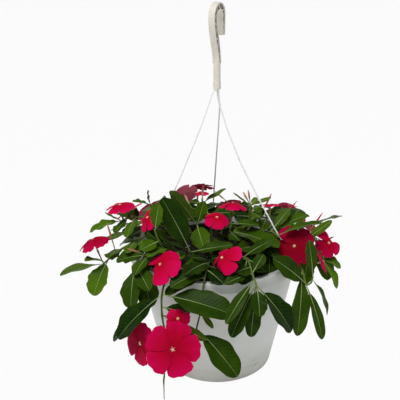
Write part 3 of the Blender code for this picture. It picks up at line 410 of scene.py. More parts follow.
class Shade:
    """Builds the nodes of one material."""

    def __init__(self, name: str, **fixed: float | Colour) -> None:
        """Starts a material.

        Args:
            name: The material's name.
            **fixed: What is the same all over, by socket name with _ for a space.
        """
        self.material = bpy.data.materials.new(name)
        self.material.use_nodes = True
        self.tree = self.material.node_tree
        self.shader = self.tree.nodes["Principled BSDF"]
        for socket, value in fixed.items():
            self._feed(socket.replace("_", " "), value)

    def _set(self, socket: NodeSocket, value: Value | float | Sequence[float]) -> None:
        """Links or writes one socket's value."""
        if isinstance(value, Value):
            self.tree.links.new(value.socket, socket)
        elif isinstance(value, (int, float)):
            socket.default_value = value
        else:
            socket.default_value = (*value, 1.0)[:len(socket.default_value)]

    def _feed(self, socket: str, value: Value | float | Colour) -> None:
        """Gives the shader one of its values."""
        self._set(self.shader.inputs[socket], value)

    def node(
        self, kind: str, settings: dict[str, object], values: dict[int | str, object],
        output: int | str = 0,
    ) -> Value:
        """Adds one node.

        Args:
            kind: The node's type.
            settings: Its settings.
            values: Its sockets' values or links, by index or name.
            output: The output that is wanted.

        Returns:
            The output as a value.
        """
        made = self.tree.nodes.new(kind)
        for name, value in settings.items():
            setattr(made, name, value)
        for key, value in values.items():
            self._set(made.inputs[key], value)
        return Value(self, made.outputs[output])

    def mix(self, share: Value | float, first: Value | Colour, second: Value | Colour) -> Value:
        """Blends two colours by a share from 0 to 1."""
        settings = {"data_type": "RGBA", "clamp_factor": True}
        return self.node("ShaderNodeMix", settings, {0: share, 6: first, 7: second}, 2)

    def attribute(self, name: str) -> tuple[Value, Value, Value]:
        """The three numbers of an attribute of the mesh."""
        both = self.node("ShaderNodeAttribute", {"attribute_name": name}, {}, "Vector")
        return tuple(self.node("ShaderNodeSeparateXYZ", {}, {0: both}, k) for k in range(3))

    def place(self) -> Value:
        """The place on the object, in metres."""
        return self.node("ShaderNodeTexCoord", {}, {}, "Object")

    def stretched(self, *scale: float) -> Value:
        """The place on the object, with each axis scaled."""
        return self.node("ShaderNodeMapping", {}, {"Vector": self.place(), "Scale": scale})

    def grain(
        self, scale: float, detail: float = 3.0, rough: float = 0.55, where: Value | None = None
    ) -> Value:
        """Noise from 0 to 1.

        Args:
            scale: Its cells to the metre.
            detail: Its octaves.
            rough: How strong the fine ones are.
            where: The coordinates, or the place on the object.

        Returns:
            The noise.
        """
        where = where or self.place()
        values = {"Vector": where, "Scale": scale, "Detail": detail, "Roughness": rough}
        return self.node("ShaderNodeTexNoise", {}, values)

    def finished(
        self, colour: Value, roughness: Value | float, relief: Value | None = None,
        depth: float = 0.0, strength: float = 1.0,
    ) -> Material:
        """Feeds the shader what varies over the piece.

        Args:
            colour: The base colour.
            roughness: The roughness.
            relief: A bump from 0 to 1, if there is one.
            depth: Its depth in metres.
            strength: How much of it shows.

        Returns:
            The material.
        """
        self._feed("Base Color", colour)
        self._feed("Roughness", roughness)
        if relief is not None:
            values = {"Height": relief, "Distance": depth, "Strength": strength}
            self._feed("Normal", self.node("ShaderNodeBump", {}, values))
        return self.material


# --- finishes


@dataclass(frozen=True)
class LeafFinish:
    """One face of a leaf: glossy green, puckered between pale veins that leave the midrib."""

    name: str
    dark: Colour
    light: Colour
    vein: Colour
    edge: Colour
    side_veins: float = 0.045
    rib_width: float = 0.5
    roughness: float = 0.36
    spacing: float = 6.0
    young: Colour = (0.12, 0.20, 0.012)

    def make(self) -> Material:
        """Builds the material from the blade's own coordinates."""
        shade = Shade(self.name, Specular_IOR_Level=0.045)
        share, across, edge = shade.attribute("blade")
        tint, length, age = shade.attribute("growth")
        reach = abs(across)
        rib = 1 - (reach / (self.rib_width * (1.15 - 0.85 * share))).ease(0.55, 1.5)
        blotch = shade.grain(55.0, rough=0.6)
        slant = 0.25 * self.spacing * across.sign() - 0.85 * reach
        phase = (share * length + slant) / self.spacing + 0.9 * blotch
        near = 2 * abs(phase.fraction() - 0.5)
        inside = 1 - abs(edge).ease(0.6, 1.0)
        green = shade.mix(tint + 0.5 * blotch - 0.25, self.dark, self.light)
        green = shade.mix(age, green, self.young)
        green = shade.mix(near.ease(0.84, 0.99) * inside * self.side_veins, green, self.vein)
        green = shade.mix(abs(edge).ease(0.93, 1.0) * 0.5, green, self.edge)
        green = shade.mix(rib * (0.9 - 0.35 * share), green, self.vein)
        pucker = (1 - near).ease(0.0, 0.9) * inside
        relief = 0.35 * pucker + 0.2 * shade.grain(700.0, 2.0, 0.6) + 0.5 * blotch - 0.6 * rib
        gloss = self.roughness + 0.22 * blotch - 0.08 + 0.15 * rib
        return shade.finished(green, gloss, relief, 0.0005, 0.8)


@dataclass(frozen=True)
class StemFinish:
    """A soft stem, brown at its foot and pale green at its tip, or dark all the way when old."""

    name: str = "vinca_stem"
    foot: Colour = (0.055, 0.045, 0.015)
    tip: Colour = (0.13, 0.20, 0.03)
    aged: Colour = (0.022, 0.040, 0.006)
    streaks: Colour = (0.07, 0.12, 0.02)

    def make(self) -> Material:
        """Builds the material along the stem."""
        shade = Shade(self.name, Specular_IOR_Level=0.15)
        share, _, _ = shade.attribute("blade")
        old, _, _ = shade.attribute("growth")
        streak = shade.grain(260.0)
        green = shade.mix(share.ease(0.0, 0.95), self.foot, self.tip)
        green = shade.mix(old * 0.75, green, self.aged)
        green = shade.mix(streak.ease(0.4, 0.75) * 0.35, green, self.streaks)
        return shade.finished(green, 0.4 + 0.2 * streak, streak, 0.0002)


@dataclass(frozen=True)
class BudFinish:
    """A bud or a flower tube, pale green at its foot and flushed pink above."""

    name: str
    foot: Colour
    head: Colour
    deep: Colour
    low: float = 0.35
    high: float = 0.8
    streaks: Colour = (0.80, 0.68, 0.52)

    def make(self) -> Material:
        """Builds the material along the bud."""
        shade = Shade(self.name, Specular_IOR_Level=0.15)
        share, _, _ = shade.attribute("blade")
        tint, _, _ = shade.attribute("growth")
        streak = shade.grain(900.0, 2.0)
        head = shade.mix(tint, self.head, self.deep)
        colour = shade.mix(share.ease(self.low, self.high), self.foot, head)
        colour = shade.mix(streak.ease(0.3, 0.8) * (0.25 - 0.2 * tint), colour, self.streaks)
        return shade.finished(colour, 0.5 + 0.1 * streak)


@dataclass(frozen=True)
class PetalFinish:
    """One face of a petal: velvety, streaked along its length, with a pale star at the throat."""

    name: str
    body: Colour
    deep: Colour
    rim: Colour
    star: float = 1.0
    faded: Colour = (0.97, 0.24, 0.34)
    # The colour of painted shade on blooms that lie in shadow.
    painted_shade_crimson: Colour = (0.14, 0.0, 0.004)
    ray: Colour = (0.93, 0.64, 0.38)
    eye: Colour = (0.93, 0.82, 0.34)
    sheen: Colour = (1.0, 0.02, 0.4)

    def make(self) -> Material:
        """Builds the material from the petal's own coordinates."""
        sheen = {"Sheen_Weight": 0.05, "Sheen_Roughness": 0.5, "Sheen_Tint": self.sheen}
        shade = Shade(self.name, Specular_IOR_Level=0.03, **sheen)
        share, radius, across = shade.attribute("blade")
        tint, old, pale = shade.attribute("growth")
        side = abs(across)
        fan = shade.node("ShaderNodeCombineXYZ", {}, {0: across * 9.0, 1: share * 1.1, 2: tint * 7.0})
        streak = shade.grain(1.6, rough=0.6, where=fan)
        cloud = shade.grain(70.0, 2.0)
        red = shade.mix(0.9 * streak + 0.5 * cloud - 0.25, self.deep, self.body)
        red = shade.mix(share.ease(0.45, 1.0) * 0.6 + tint * 0.3, red, self.rim)
        red = shade.mix((1 - share.ease(0.04, 0.52)) * 0.8, red, self.deep)
        red = shade.mix(pale * (1 - self.star) * (0.6 + 0.5 * streak), red, self.faded)
        # Painted shade: the second growth number darkens some whole blooms towards a near-black crimson.
        red = shade.mix(old * (0.75 + 0.5 * cloud) * (0.35 + 0.65 * self.star), red, self.painted_shade_crimson)
        for spread_out, low, high, colour in ((2.2, 1.4, 3.0, self.ray), (1.2, 1.2, 2.5, self.eye)):
            red = shade.mix((1 - (radius + spread_out * side).ease(low, high)) * self.star, red, colour)
        return shade.finished(red, 0.5 + 0.2 * streak, streak, 0.0003, 0.7)


@dataclass(frozen=True)
class PotFinish:
    """White moulded plastic with faint bands, a little dust, a darker grey towards its foot and scuffs near
    it.
    """

    name: str = "pot_plastic"
    clean: Colour = (0.56, 0.58, 0.555)
    dust_and_lower_tone: Colour = (0.36, 0.365, 0.315)
    band: Colour = (0.80, 0.82, 0.80)
    scuff: Colour = (0.12, 0.11, 0.095)
    soiled: Colour = (0.20, 0.18, 0.15)

    def make(self) -> Material:
        """Builds the material over the pot's height."""
        shade = Shade(self.name, Specular_IOR_Level=0.4)
        height = shade.node("ShaderNodeSeparateXYZ", {}, {0: shade.place()}, 2)
        cloud = shade.grain(16.0, 4.0, 0.6)
        bands = shade.grain(1.0, 3.0, 0.6, shade.stretched(8.0, 8.0, 170.0))
        marks = shade.grain(1.0, 4.0, 0.65, shade.stretched(38.0, 38.0, 210.0))
        low = 1 - height.ease(0.002, 0.060)
        # The plastic turns a darker grey towards the foot, and a little greyer where cloudy dust lies.
        plastic = shade.mix(cloud.ease(0.35, 0.75) * 0.30 + 0.7 * low, self.clean, self.dust_and_lower_tone)
        plastic = shade.mix(bands.ease(0.5, 0.8) * 0.16, plastic, self.band)
        worn = marks.ease(0.61, 0.71) * shade.grain(11.0, 2.0).ease(0.40, 0.60) * (0.10 + 0.90 * low)
        plastic = shade.mix(worn * 0.75, plastic, self.scuff)
        foot = (1 - height.ease(0.0, 0.016)) * cloud.ease(0.2, 0.6)
        plastic = shade.mix(foot * 0.6, plastic, self.soiled)
        relief = 0.7 * bands + 0.3 * shade.grain(900.0, 2.0)
        return shade.finished(plastic, 0.40 + 0.14 * cloud + 0.2 * worn, relief, 0.00025, 0.6)


@dataclass(frozen=True)
class HookFinish:
    """Cream plastic that has weathered, darkened in its recesses by grime and painted shade."""

    name: str = "hook_plastic"
    clean: Colour = (0.77, 0.74, 0.66)
    weathered: Colour = (0.50, 0.47, 0.40)
    grime_and_shade: Colour = (0.15, 0.13, 0.095)

    def make(self) -> Material:
        """Builds the material, darker where the mesh is marked as a recess."""
        shade = Shade(self.name, Specular_IOR_Level=0.45)
        recess, _, _ = shade.attribute("blade")
        cloud = shade.grain(90.0, 4.0, 0.6)
        plastic = shade.mix(cloud.ease(0.35, 0.8) * 0.35, self.clean, self.weathered)
        # Grime and painted shade: the web and ribs between the flanges are darkened.
        plastic = shade.mix(recess * (0.45 + 0.5 * cloud), plastic, self.grime_and_shade)
        relief = 0.6 * cloud + 0.4 * shade.grain(1300.0, 2.0)
        return shade.finished(plastic, 0.38 + 0.2 * cloud, relief, 0.0002, 0.6)


@dataclass(frozen=True)
class WireFinish:
    """The smooth coat of a strand, with a few duller rubs."""

    name: str
    coat: Colour
    rub: Colour

    def make(self) -> Material:
        """Builds the material."""
        shade = Shade(self.name, Specular_IOR_Level=0.5)
        rubs = shade.grain(1.0, rough=0.6, where=shade.stretched(60.0, 60.0, 150.0))
        return shade.finished(shade.mix(rubs.ease(0.5, 0.75) * 0.6, self.coat, self.rub), 0.3 + 0.2 * rubs)


@dataclass(frozen=True)
class SoilFinish:
    """Peat and bark: crumbs of several browns with paler fibres."""

    name: str
    dark: Colour
    brown: Colour
    fibre: Colour

    def make(self) -> Material:
        """Builds the material, each chip a little different from the next."""
        shade = Shade(self.name, Specular_IOR_Level=0.2)
        tint, _, _ = shade.attribute("growth")
        crumb = shade.grain(420.0, 4.0, 0.7)
        thread = shade.grain(1.0, rough=0.6, where=shade.stretched(900.0, 250.0, 600.0))
        brown = shade.mix(crumb.ease(0.3, 0.7) * 0.6 + tint * 0.5, self.dark, self.brown)
        brown = shade.mix(thread.ease(0.62, 0.75) * 0.6, brown, self.fibre)
        return shade.finished(brown, 0.8 + 0.15 * crumb, crumb, 0.0012)


# --- helpers


def clamp(value: float, low: float = 0.0, high: float = 1.0) -> float:
    """A value held between two others."""
    return min(high, max(low, value))


def spread(seed: float) -> float:
    """A steady number from 0 to 1 that looks drawn at random."""
    value = math.sin(seed * 12.9898) * 43758.5453
    return value - math.floor(value)


def polar(radius: float, degrees: float, height: float = 0.0) -> Vector:
    """A place by its distance from the axis, its azimuth and its height."""
    angle = math.radians(degrees)
    return Vector((radius * math.cos(angle), radius * math.sin(angle), height))


def at_rim(place: Sequence[float]) -> Vector:
    """A place in millimetres from the middle of the rim, in metres from the pot's underside."""
    return Vector(place) * MM + Vector((0.0, 0.0, POT_HEIGHT))


def curve_point(points: Sequence[Vector], station: float) -> Vector:
    """The place on the smooth curve through the points, at a whole or part station."""
    station = clamp(station, 0.0, len(points) - 1.0)
    index = min(int(station), len(points) - 2)
    t = station - index
    a, b = points[index], points[index + 1]
    before = points[index - 1] if index else 2 * a - b
    after = points[index + 2] if index + 2 < len(points) else 2 * b - a
    return 0.5 * (
        2 * a
        + (b - before) * t
        + (2 * before - 5 * a + 4 * b - after) * t**2
        + (3 * a - before - 3 * b + after) * t**3
    )


def curve_direction(points: Sequence[Vector], station: float) -> Vector:
    """The way the curve runs at a station."""
    return (curve_point(points, station + 0.05) - curve_point(points, station - 0.05)).normalized()


def carried_frames(points: Sequence[Vector]) -> list[tuple[Vector, Vector, Vector]]:
    """Frames along a path, turned as little as possible on the way.

    Args:
        points: The path.

    Returns:
        At each point the directions across, up and along.
    """
    runs = [(b - a).normalized() for a, b in pairwise(points)]
    runs = [runs[0]] + [(a + b).normalized() for a, b in pairwise(runs)] + [runs[-1]]
    across = runs[0].orthogonal().normalized()
    frames = []
    for along in runs:
        across = (across - along * across.dot(along)).normalized()
        frames.append((across, along.cross(across), along))
    return frames


def faces_at(verts: Sequence[BMVert]) -> list[BMFace]:
    """Every face that has one of these corners, in an order that never changes."""
    return list(dict.fromkeys(face for vert in verts for face in vert.link_faces))


def meshed(bm: BMesh, name: str) -> Mesh:
    """Turns what was drawn into a mesh."""
    mesh = bpy.data.meshes.new(name)
    bm.to_mesh(mesh)
    bm.free()
    return mesh


def smoothed(mesh: Mesh, degrees: float) -> Mesh:
    """Shades a mesh smooth, apart from the edges that are sharper than an angle."""
    mesh.shade_smooth()
    mesh.set_sharp_from_angle(angle=math.radians(degrees))
    return mesh


def placed(name: str, data: Mesh | Light | Camera) -> Object:
    """Puts a new object into the scene."""
    made = bpy.data.objects.new(name, data)
    bpy.context.scene.collection.objects.link(made)
    return made


# --- pieces


@dataclass(frozen=True)
class Station:
    """A place along a tube, its radius there and its share of the way."""

    place: Vector
    radius: float
    share: float = 0.0


class Piece:
    """One finished object in the making: its mesh, its finishes and the nodes that it stands for."""

    def __init__(self, name: str, slot: Slot, nodes: Sequence[str], finishes: Sequence[Material]) -> None:
        """Starts an empty mesh with the attributes that the finishes read."""
        self.name = name
        self.slot = slot
        self.nodes = nodes
        self.finishes = finishes
        self.bm = bmesh.new()
        self.blade = self.bm.verts.layers.float_vector.new("blade")
        self.growth = self.bm.verts.layers.float_vector.new("growth")

    def wear(self, verts: Sequence[BMVert], finish: int) -> None:
        """Puts a finish on every face of these corners."""
        for face in faces_at(verts):
            face.material_index = finish

    def extruded(self, cap: BMFace) -> BMFace:
        """Draws a face out by nothing, ready to be moved."""
        grown = bmesh.ops.extrude_face_region(self.bm, geom=[cap])["geom"]
        return next(item for item in grown if isinstance(item, BMFace))

    def turned(self, profile: Sequence[tuple[float, float]], sides: int) -> None:
        """Turns a half section of radii and heights about the upright axis."""
        verts = [self.bm.verts.new((radius, 0.0, height)) for radius, height in profile]
        geom = verts + [self.bm.edges.new(pair) for pair in pairwise(verts)]
        axis = {"cent": (0, 0, 0), "axis": (0, 0, 1), "angle": math.tau}
        bmesh.ops.spin(self.bm, geom=geom, steps=sides, use_merge=True, **axis)
        bmesh.ops.remove_doubles(self.bm, verts=self.bm.verts, dist=1e-6)
        bmesh.ops.recalc_face_normals(self.bm, faces=self.bm.faces)

    def tube(self, stations: Sequence[Station], sides: int, finish: int = 0, tint: float = 0.0) -> BMFace:
        """Draws a closed tube by extruding a disc from station to station.

        Args:
            stations: The places along it.
            sides: Its sides.
            finish: Which finish it wears.
            tint: Its own shade, from 0 to 1.

        Returns:
            The face at its far end.
        """
        frames = []
        for station, (across, up, along) in zip(stations, carried_frames([s.place for s in stations])):
            basis = Matrix((-up * station.radius, across * station.radius, along)).transposed().to_4x4()
            frames.append(Matrix.Translation(station.place) @ basis)
        disc = {"cap_ends": True, "segments": sides, "radius": 1.0, "matrix": frames[0]}
        ring = bmesh.ops.create_circle(self.bm, **disc)["verts"]
        cap, made = ring[0].link_faces[0], list(ring)
        for vert in ring:
            vert[self.blade] = (stations[0].share, 0.0, 0.0)
        for station, (low, high) in zip(stations[1:], pairwise(frames)):
            cap = self.extruded(cap)
            bmesh.ops.transform(self.bm, matrix=high @ low.inverted(), verts=list(cap.verts))
            for vert in cap.verts:
                vert[self.blade] = (station.share, 0.0, 0.0)
            made += cap.verts
        for vert in made:
            vert[self.growth] = (tint, 0.0, 0.0)
        bmesh.ops.recalc_face_normals(self.bm, faces=faces_at(made))
        self.wear(made, finish)
        return cap

    def sheet(
        self, rows: int, columns: int, place: Callable[[float, float, float], tuple[Vector, Colour]],
        growth: Colour, finishes: tuple[int, int],
    ) -> None:
        """Lays a closed blade whose two faces meet in a thin rim.

        Args:
            rows: Its faces from base to tip.
            columns: Its faces from edge to edge.
            place: Gives the place and the blade attribute for u from 0 to 1, v from -1 to 1 and a
                side of 1 on top or -1 below.
            growth: The growth attribute of the whole blade.
            finishes: Which finish its top and its underside wear.
        """
        made = []
        for side, finish in zip((1.0, -1.0), finishes):
            grid = bmesh.ops.create_grid(self.bm, x_segments=rows, y_segments=columns, size=0.5)["verts"]
            for vert in grid:
                vert.co, vert[self.blade] = place(vert.co.x + 0.5, 2.0 * vert.co.y, side)
                vert[self.growth] = growth
            self.wear(grid, finish)
            made += grid
        faces = faces_at(made)
        bmesh.ops.remove_doubles(self.bm, verts=made, dist=2e-6)
        bmesh.ops.recalc_face_normals(self.bm, faces=[face for face in faces if face.is_valid])

    def done(self, smooth_angle: float = 40.0) -> Object:
        """Makes the object, which rides on the basket and stands for its nodes.

        Args:
            smooth_angle: Edges sharper than this, in degrees, stay sharp.

        Returns:
            The object.
        """
        mesh = smoothed(meshed(self.bm, self.name), smooth_angle)
        for finish in self.finishes:
            mesh.materials.append(finish)
        made = placed(self.name, mesh)
        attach(made, BODY)
        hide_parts(*self.nodes)
        LOG.info("%s: %d faces for %s", self.name, len(mesh.polygons), ", ".join(self.nodes))
        return made


# --- pot and hanger


@dataclass
class HangingPot:
    """The moulded pot: floor, tapering wall, ledge and turned-down skirt."""

    rim_radius: float = 0.127
    wall_top_radius: float = 0.121
    base_radius: float = 0.081
    wall: float = 0.0018
    floor: float = 0.0025
    skirt_depth: float = 0.015
    base_chamfer: float = 0.003
    recess: float = 0.0006
    recess_radius: float = 0.0710
    foot_radius: float = 0.0716
    round_over: float = 0.0005
    sides: int = 120
    drains: int = 4
    drain_ring: float = 0.058
    drain_hole: float = 0.0035
    drain_cut: float = 0.020
    strand_hole: float = 0.0016
    strand_cut: float = 0.006

    def wall_radius(self, height: float) -> float:
        """The outer radius at a height above the underside."""
        return self.base_radius + (self.wall_top_radius - self.base_radius) * height / POT_HEIGHT

    def profile(self) -> list[tuple[float, float]]:
        """The half section, from the middle of the underside to the middle of the floor."""
        skirt, ledge = POT_HEIGHT - self.skirt_depth, POT_HEIGHT - self.wall
        inner_foot = self.floor + self.wall
        return [
            (0.0, self.recess),
            (self.recess_radius, self.recess),
            (self.foot_radius, 0.0),
            (self.base_radius - self.base_chamfer, 0.0),
            (self.wall_radius(self.base_chamfer), self.base_chamfer),
            (self.wall_radius(ledge), ledge),
            (self.rim_radius - self.wall, ledge),
            (self.rim_radius - self.wall, skirt),
            (self.rim_radius, skirt),
            (self.rim_radius, POT_HEIGHT),
            (self.wall_top_radius - self.wall, POT_HEIGHT),
            (self.wall_radius(inner_foot) - self.wall, inner_foot),
            (self.wall_radius(self.floor) - 2 * self.wall, self.floor),
            (0.0, self.floor),
        ]

    def cutter(self, place: Vector, radius: float, depth: float) -> Object:
        """A short round bar that cuts one hole."""
        bm = bmesh.new()
        size = {"segments": 20, "radius1": radius, "radius2": radius, "depth": depth}
        bmesh.ops.create_cone(bm, cap_ends=True, matrix=Matrix.Translation(place), **size)
        return bpy.data.objects.new("hole", meshed(bm, "hole"))

    def pierced(self, pot: Object) -> None:
        """Cuts the drain holes and the strands' holes."""
        group = bpy.data.collections.new("holes")
        bpy.context.scene.collection.children.link(group)
        for k in range(self.drains):
            place = polar(self.drain_ring, 45 + 360 / self.drains * k)
            group.objects.link(self.cutter(place, self.drain_hole, self.drain_cut))
        for strand in Strand:
            place = polar(STRAND_SEAT, strand.value, POT_HEIGHT)
            group.objects.link(self.cutter(place, self.strand_hole, self.strand_cut))
        cut = pot.modifiers.new("holes", "BOOLEAN")
        cut.operation, cut.operand_type, cut.solver = "DIFFERENCE", "COLLECTION", "EXACT"
        cut.collection = group
        graph = bpy.context.evaluated_depsgraph_get()
        mesh = bpy.data.meshes.new_from_object(pot.evaluated_get(graph))
        pot.modifiers.clear()
        pot.data = smoothed(mesh, 40.0)
        for hole in list(group.objects):
            bpy.data.objects.remove(hole)
        bpy.data.collections.remove(group)

    def build(self) -> Object:
        """Turns the pot, rounds its edges over and pierces it."""
        piece = Piece("hanging_pot", Slot.POT, ["pot"], [PotFinish().make()])
        piece.turned(self.profile(), self.sides)
        corner = math.radians(30)
        edges = [e for e in piece.bm.edges if len(e.link_faces) == 2 and e.calc_face_angle() > corner]
        style = {"segments": 3, "profile": 0.5, "affect": "EDGES", "material": -1, "clamp_overlap": True}
        bmesh.ops.bevel(piece.bm, geom=edges, offset=self.round_over, **style)
        pot = piece.done()
        self.pierced(pot)
        return pot


@dataclass
class PottingMix:
    """The crumbly soil: a rough mound with bark chips and a few white grains on it."""

    crown: float = 0.003
    flat_share: float = 0.8
    edge_radius: float = 0.1147
    underside: tuple[tuple[float, float], ...] = ((0.0800, 0.0046), (0.0770, 0.0028), (0.0, 0.0028))
    rings: int = 44
    sides: int = 132
    lumps: float = 110.0
    roughness: float = 0.0011
    scatter_radius: float = 0.112
    chips: int = 620
    chip_sizes: tuple[float, float] = (0.0014, 0.0042)
    grains: int = 90
    grain_sizes: tuple[float, float] = (0.0008, 0.0016)
    seed: int = 11

    def height(self, x: float, y: float) -> float:
        """The surface's height at a place."""
        share = math.hypot(x, y) / self.edge_radius
        mound = POT_HEIGHT - SOIL_DROP
        mound -= self.crown * max(0.0, (share - self.flat_share) / (1.0 - self.flat_share))
        rough = noise.fractal(Vector((x, y, 0.0)) * self.lumps, 0.8, 2.2, 4)
        return mound + self.roughness * (rough - 0.6)

    def chip(self, piece: Piece, draw: random.Random, size: float, flat: float, finish: int) -> None:
        """Sinks one chip half into the surface.

        Args:
            piece: The soil.
            draw: Draws its place and its form.
            size: Half its length.
            flat: Its height as a share of its length.
            finish: Which finish it wears.
        """
        angle, radius = draw.uniform(0, math.tau), self.scatter_radius * math.sqrt(draw.random())
        x, y = radius * math.cos(angle), radius * math.sin(angle)
        turn = Matrix.Rotation(draw.uniform(0, math.tau), 4, "Z")
        turn @= Matrix.Rotation(draw.gauss(0, 0.35), 4, "X")
        scale = Matrix.Diagonal((size, size * draw.uniform(0.45, 0.8), size * flat, 1.0))
        matrix = Matrix.Translation((x, y, self.height(x, y) + 0.1 * size * flat)) @ turn @ scale
        verts = bmesh.ops.create_icosphere(piece.bm, subdivisions=1, radius=1.0, matrix=matrix)["verts"]
        tint = draw.random()
        for vert in verts:
            vert.co += Vector([draw.uniform(-0.16, 0.16) * size for _ in range(3)])
            vert[piece.growth] = (tint, 0.0, 0.0)
        piece.wear(verts, finish)

    def build(self) -> Object:
        """Makes the mound and scatters what lies on it."""
        # The peat and bark are darker than their own brown: painted shade for the deep shadow under the
        # foliage.
        finishes = [
            SoilFinish("peat", (0.006, 0.005, 0.003), (0.016, 0.011, 0.006), (0.04, 0.028, 0.016)),
            SoilFinish("bark_chip", (0.012, 0.008, 0.005), (0.036, 0.023, 0.013), (0.06, 0.042, 0.025)),
            SoilFinish("white_grain", (0.36, 0.35, 0.32), (0.50, 0.49, 0.46), (0.3, 0.27, 0.22)),
        ]
        piece = Piece("potting_mix", Slot.SOIL, ["potting_soil"], [finish.make() for finish in finishes])
        surface = [(self.edge_radius * k / self.rings, 0.0) for k in range(self.rings + 1)]
        piece.turned([*surface, *self.underside], self.sides)
        for vert in piece.bm.verts:
            if vert.co.z == 0.0:
                vert.co.z = self.height(vert.co.x, vert.co.y)
                vert[piece.growth] = (noise.noise(vert.co * 60.0) * 0.5 + 0.4, 0.0, 0.0)
        draw = random.Random(self.seed)
        for _ in range(self.chips):
            self.chip(piece, draw, draw.uniform(*self.chip_sizes), 0.35, 1)
        for _ in range(self.grains):
            self.chip(piece, draw, draw.uniform(*self.grain_sizes), 0.8, 2)
        return piece.done(60.0)


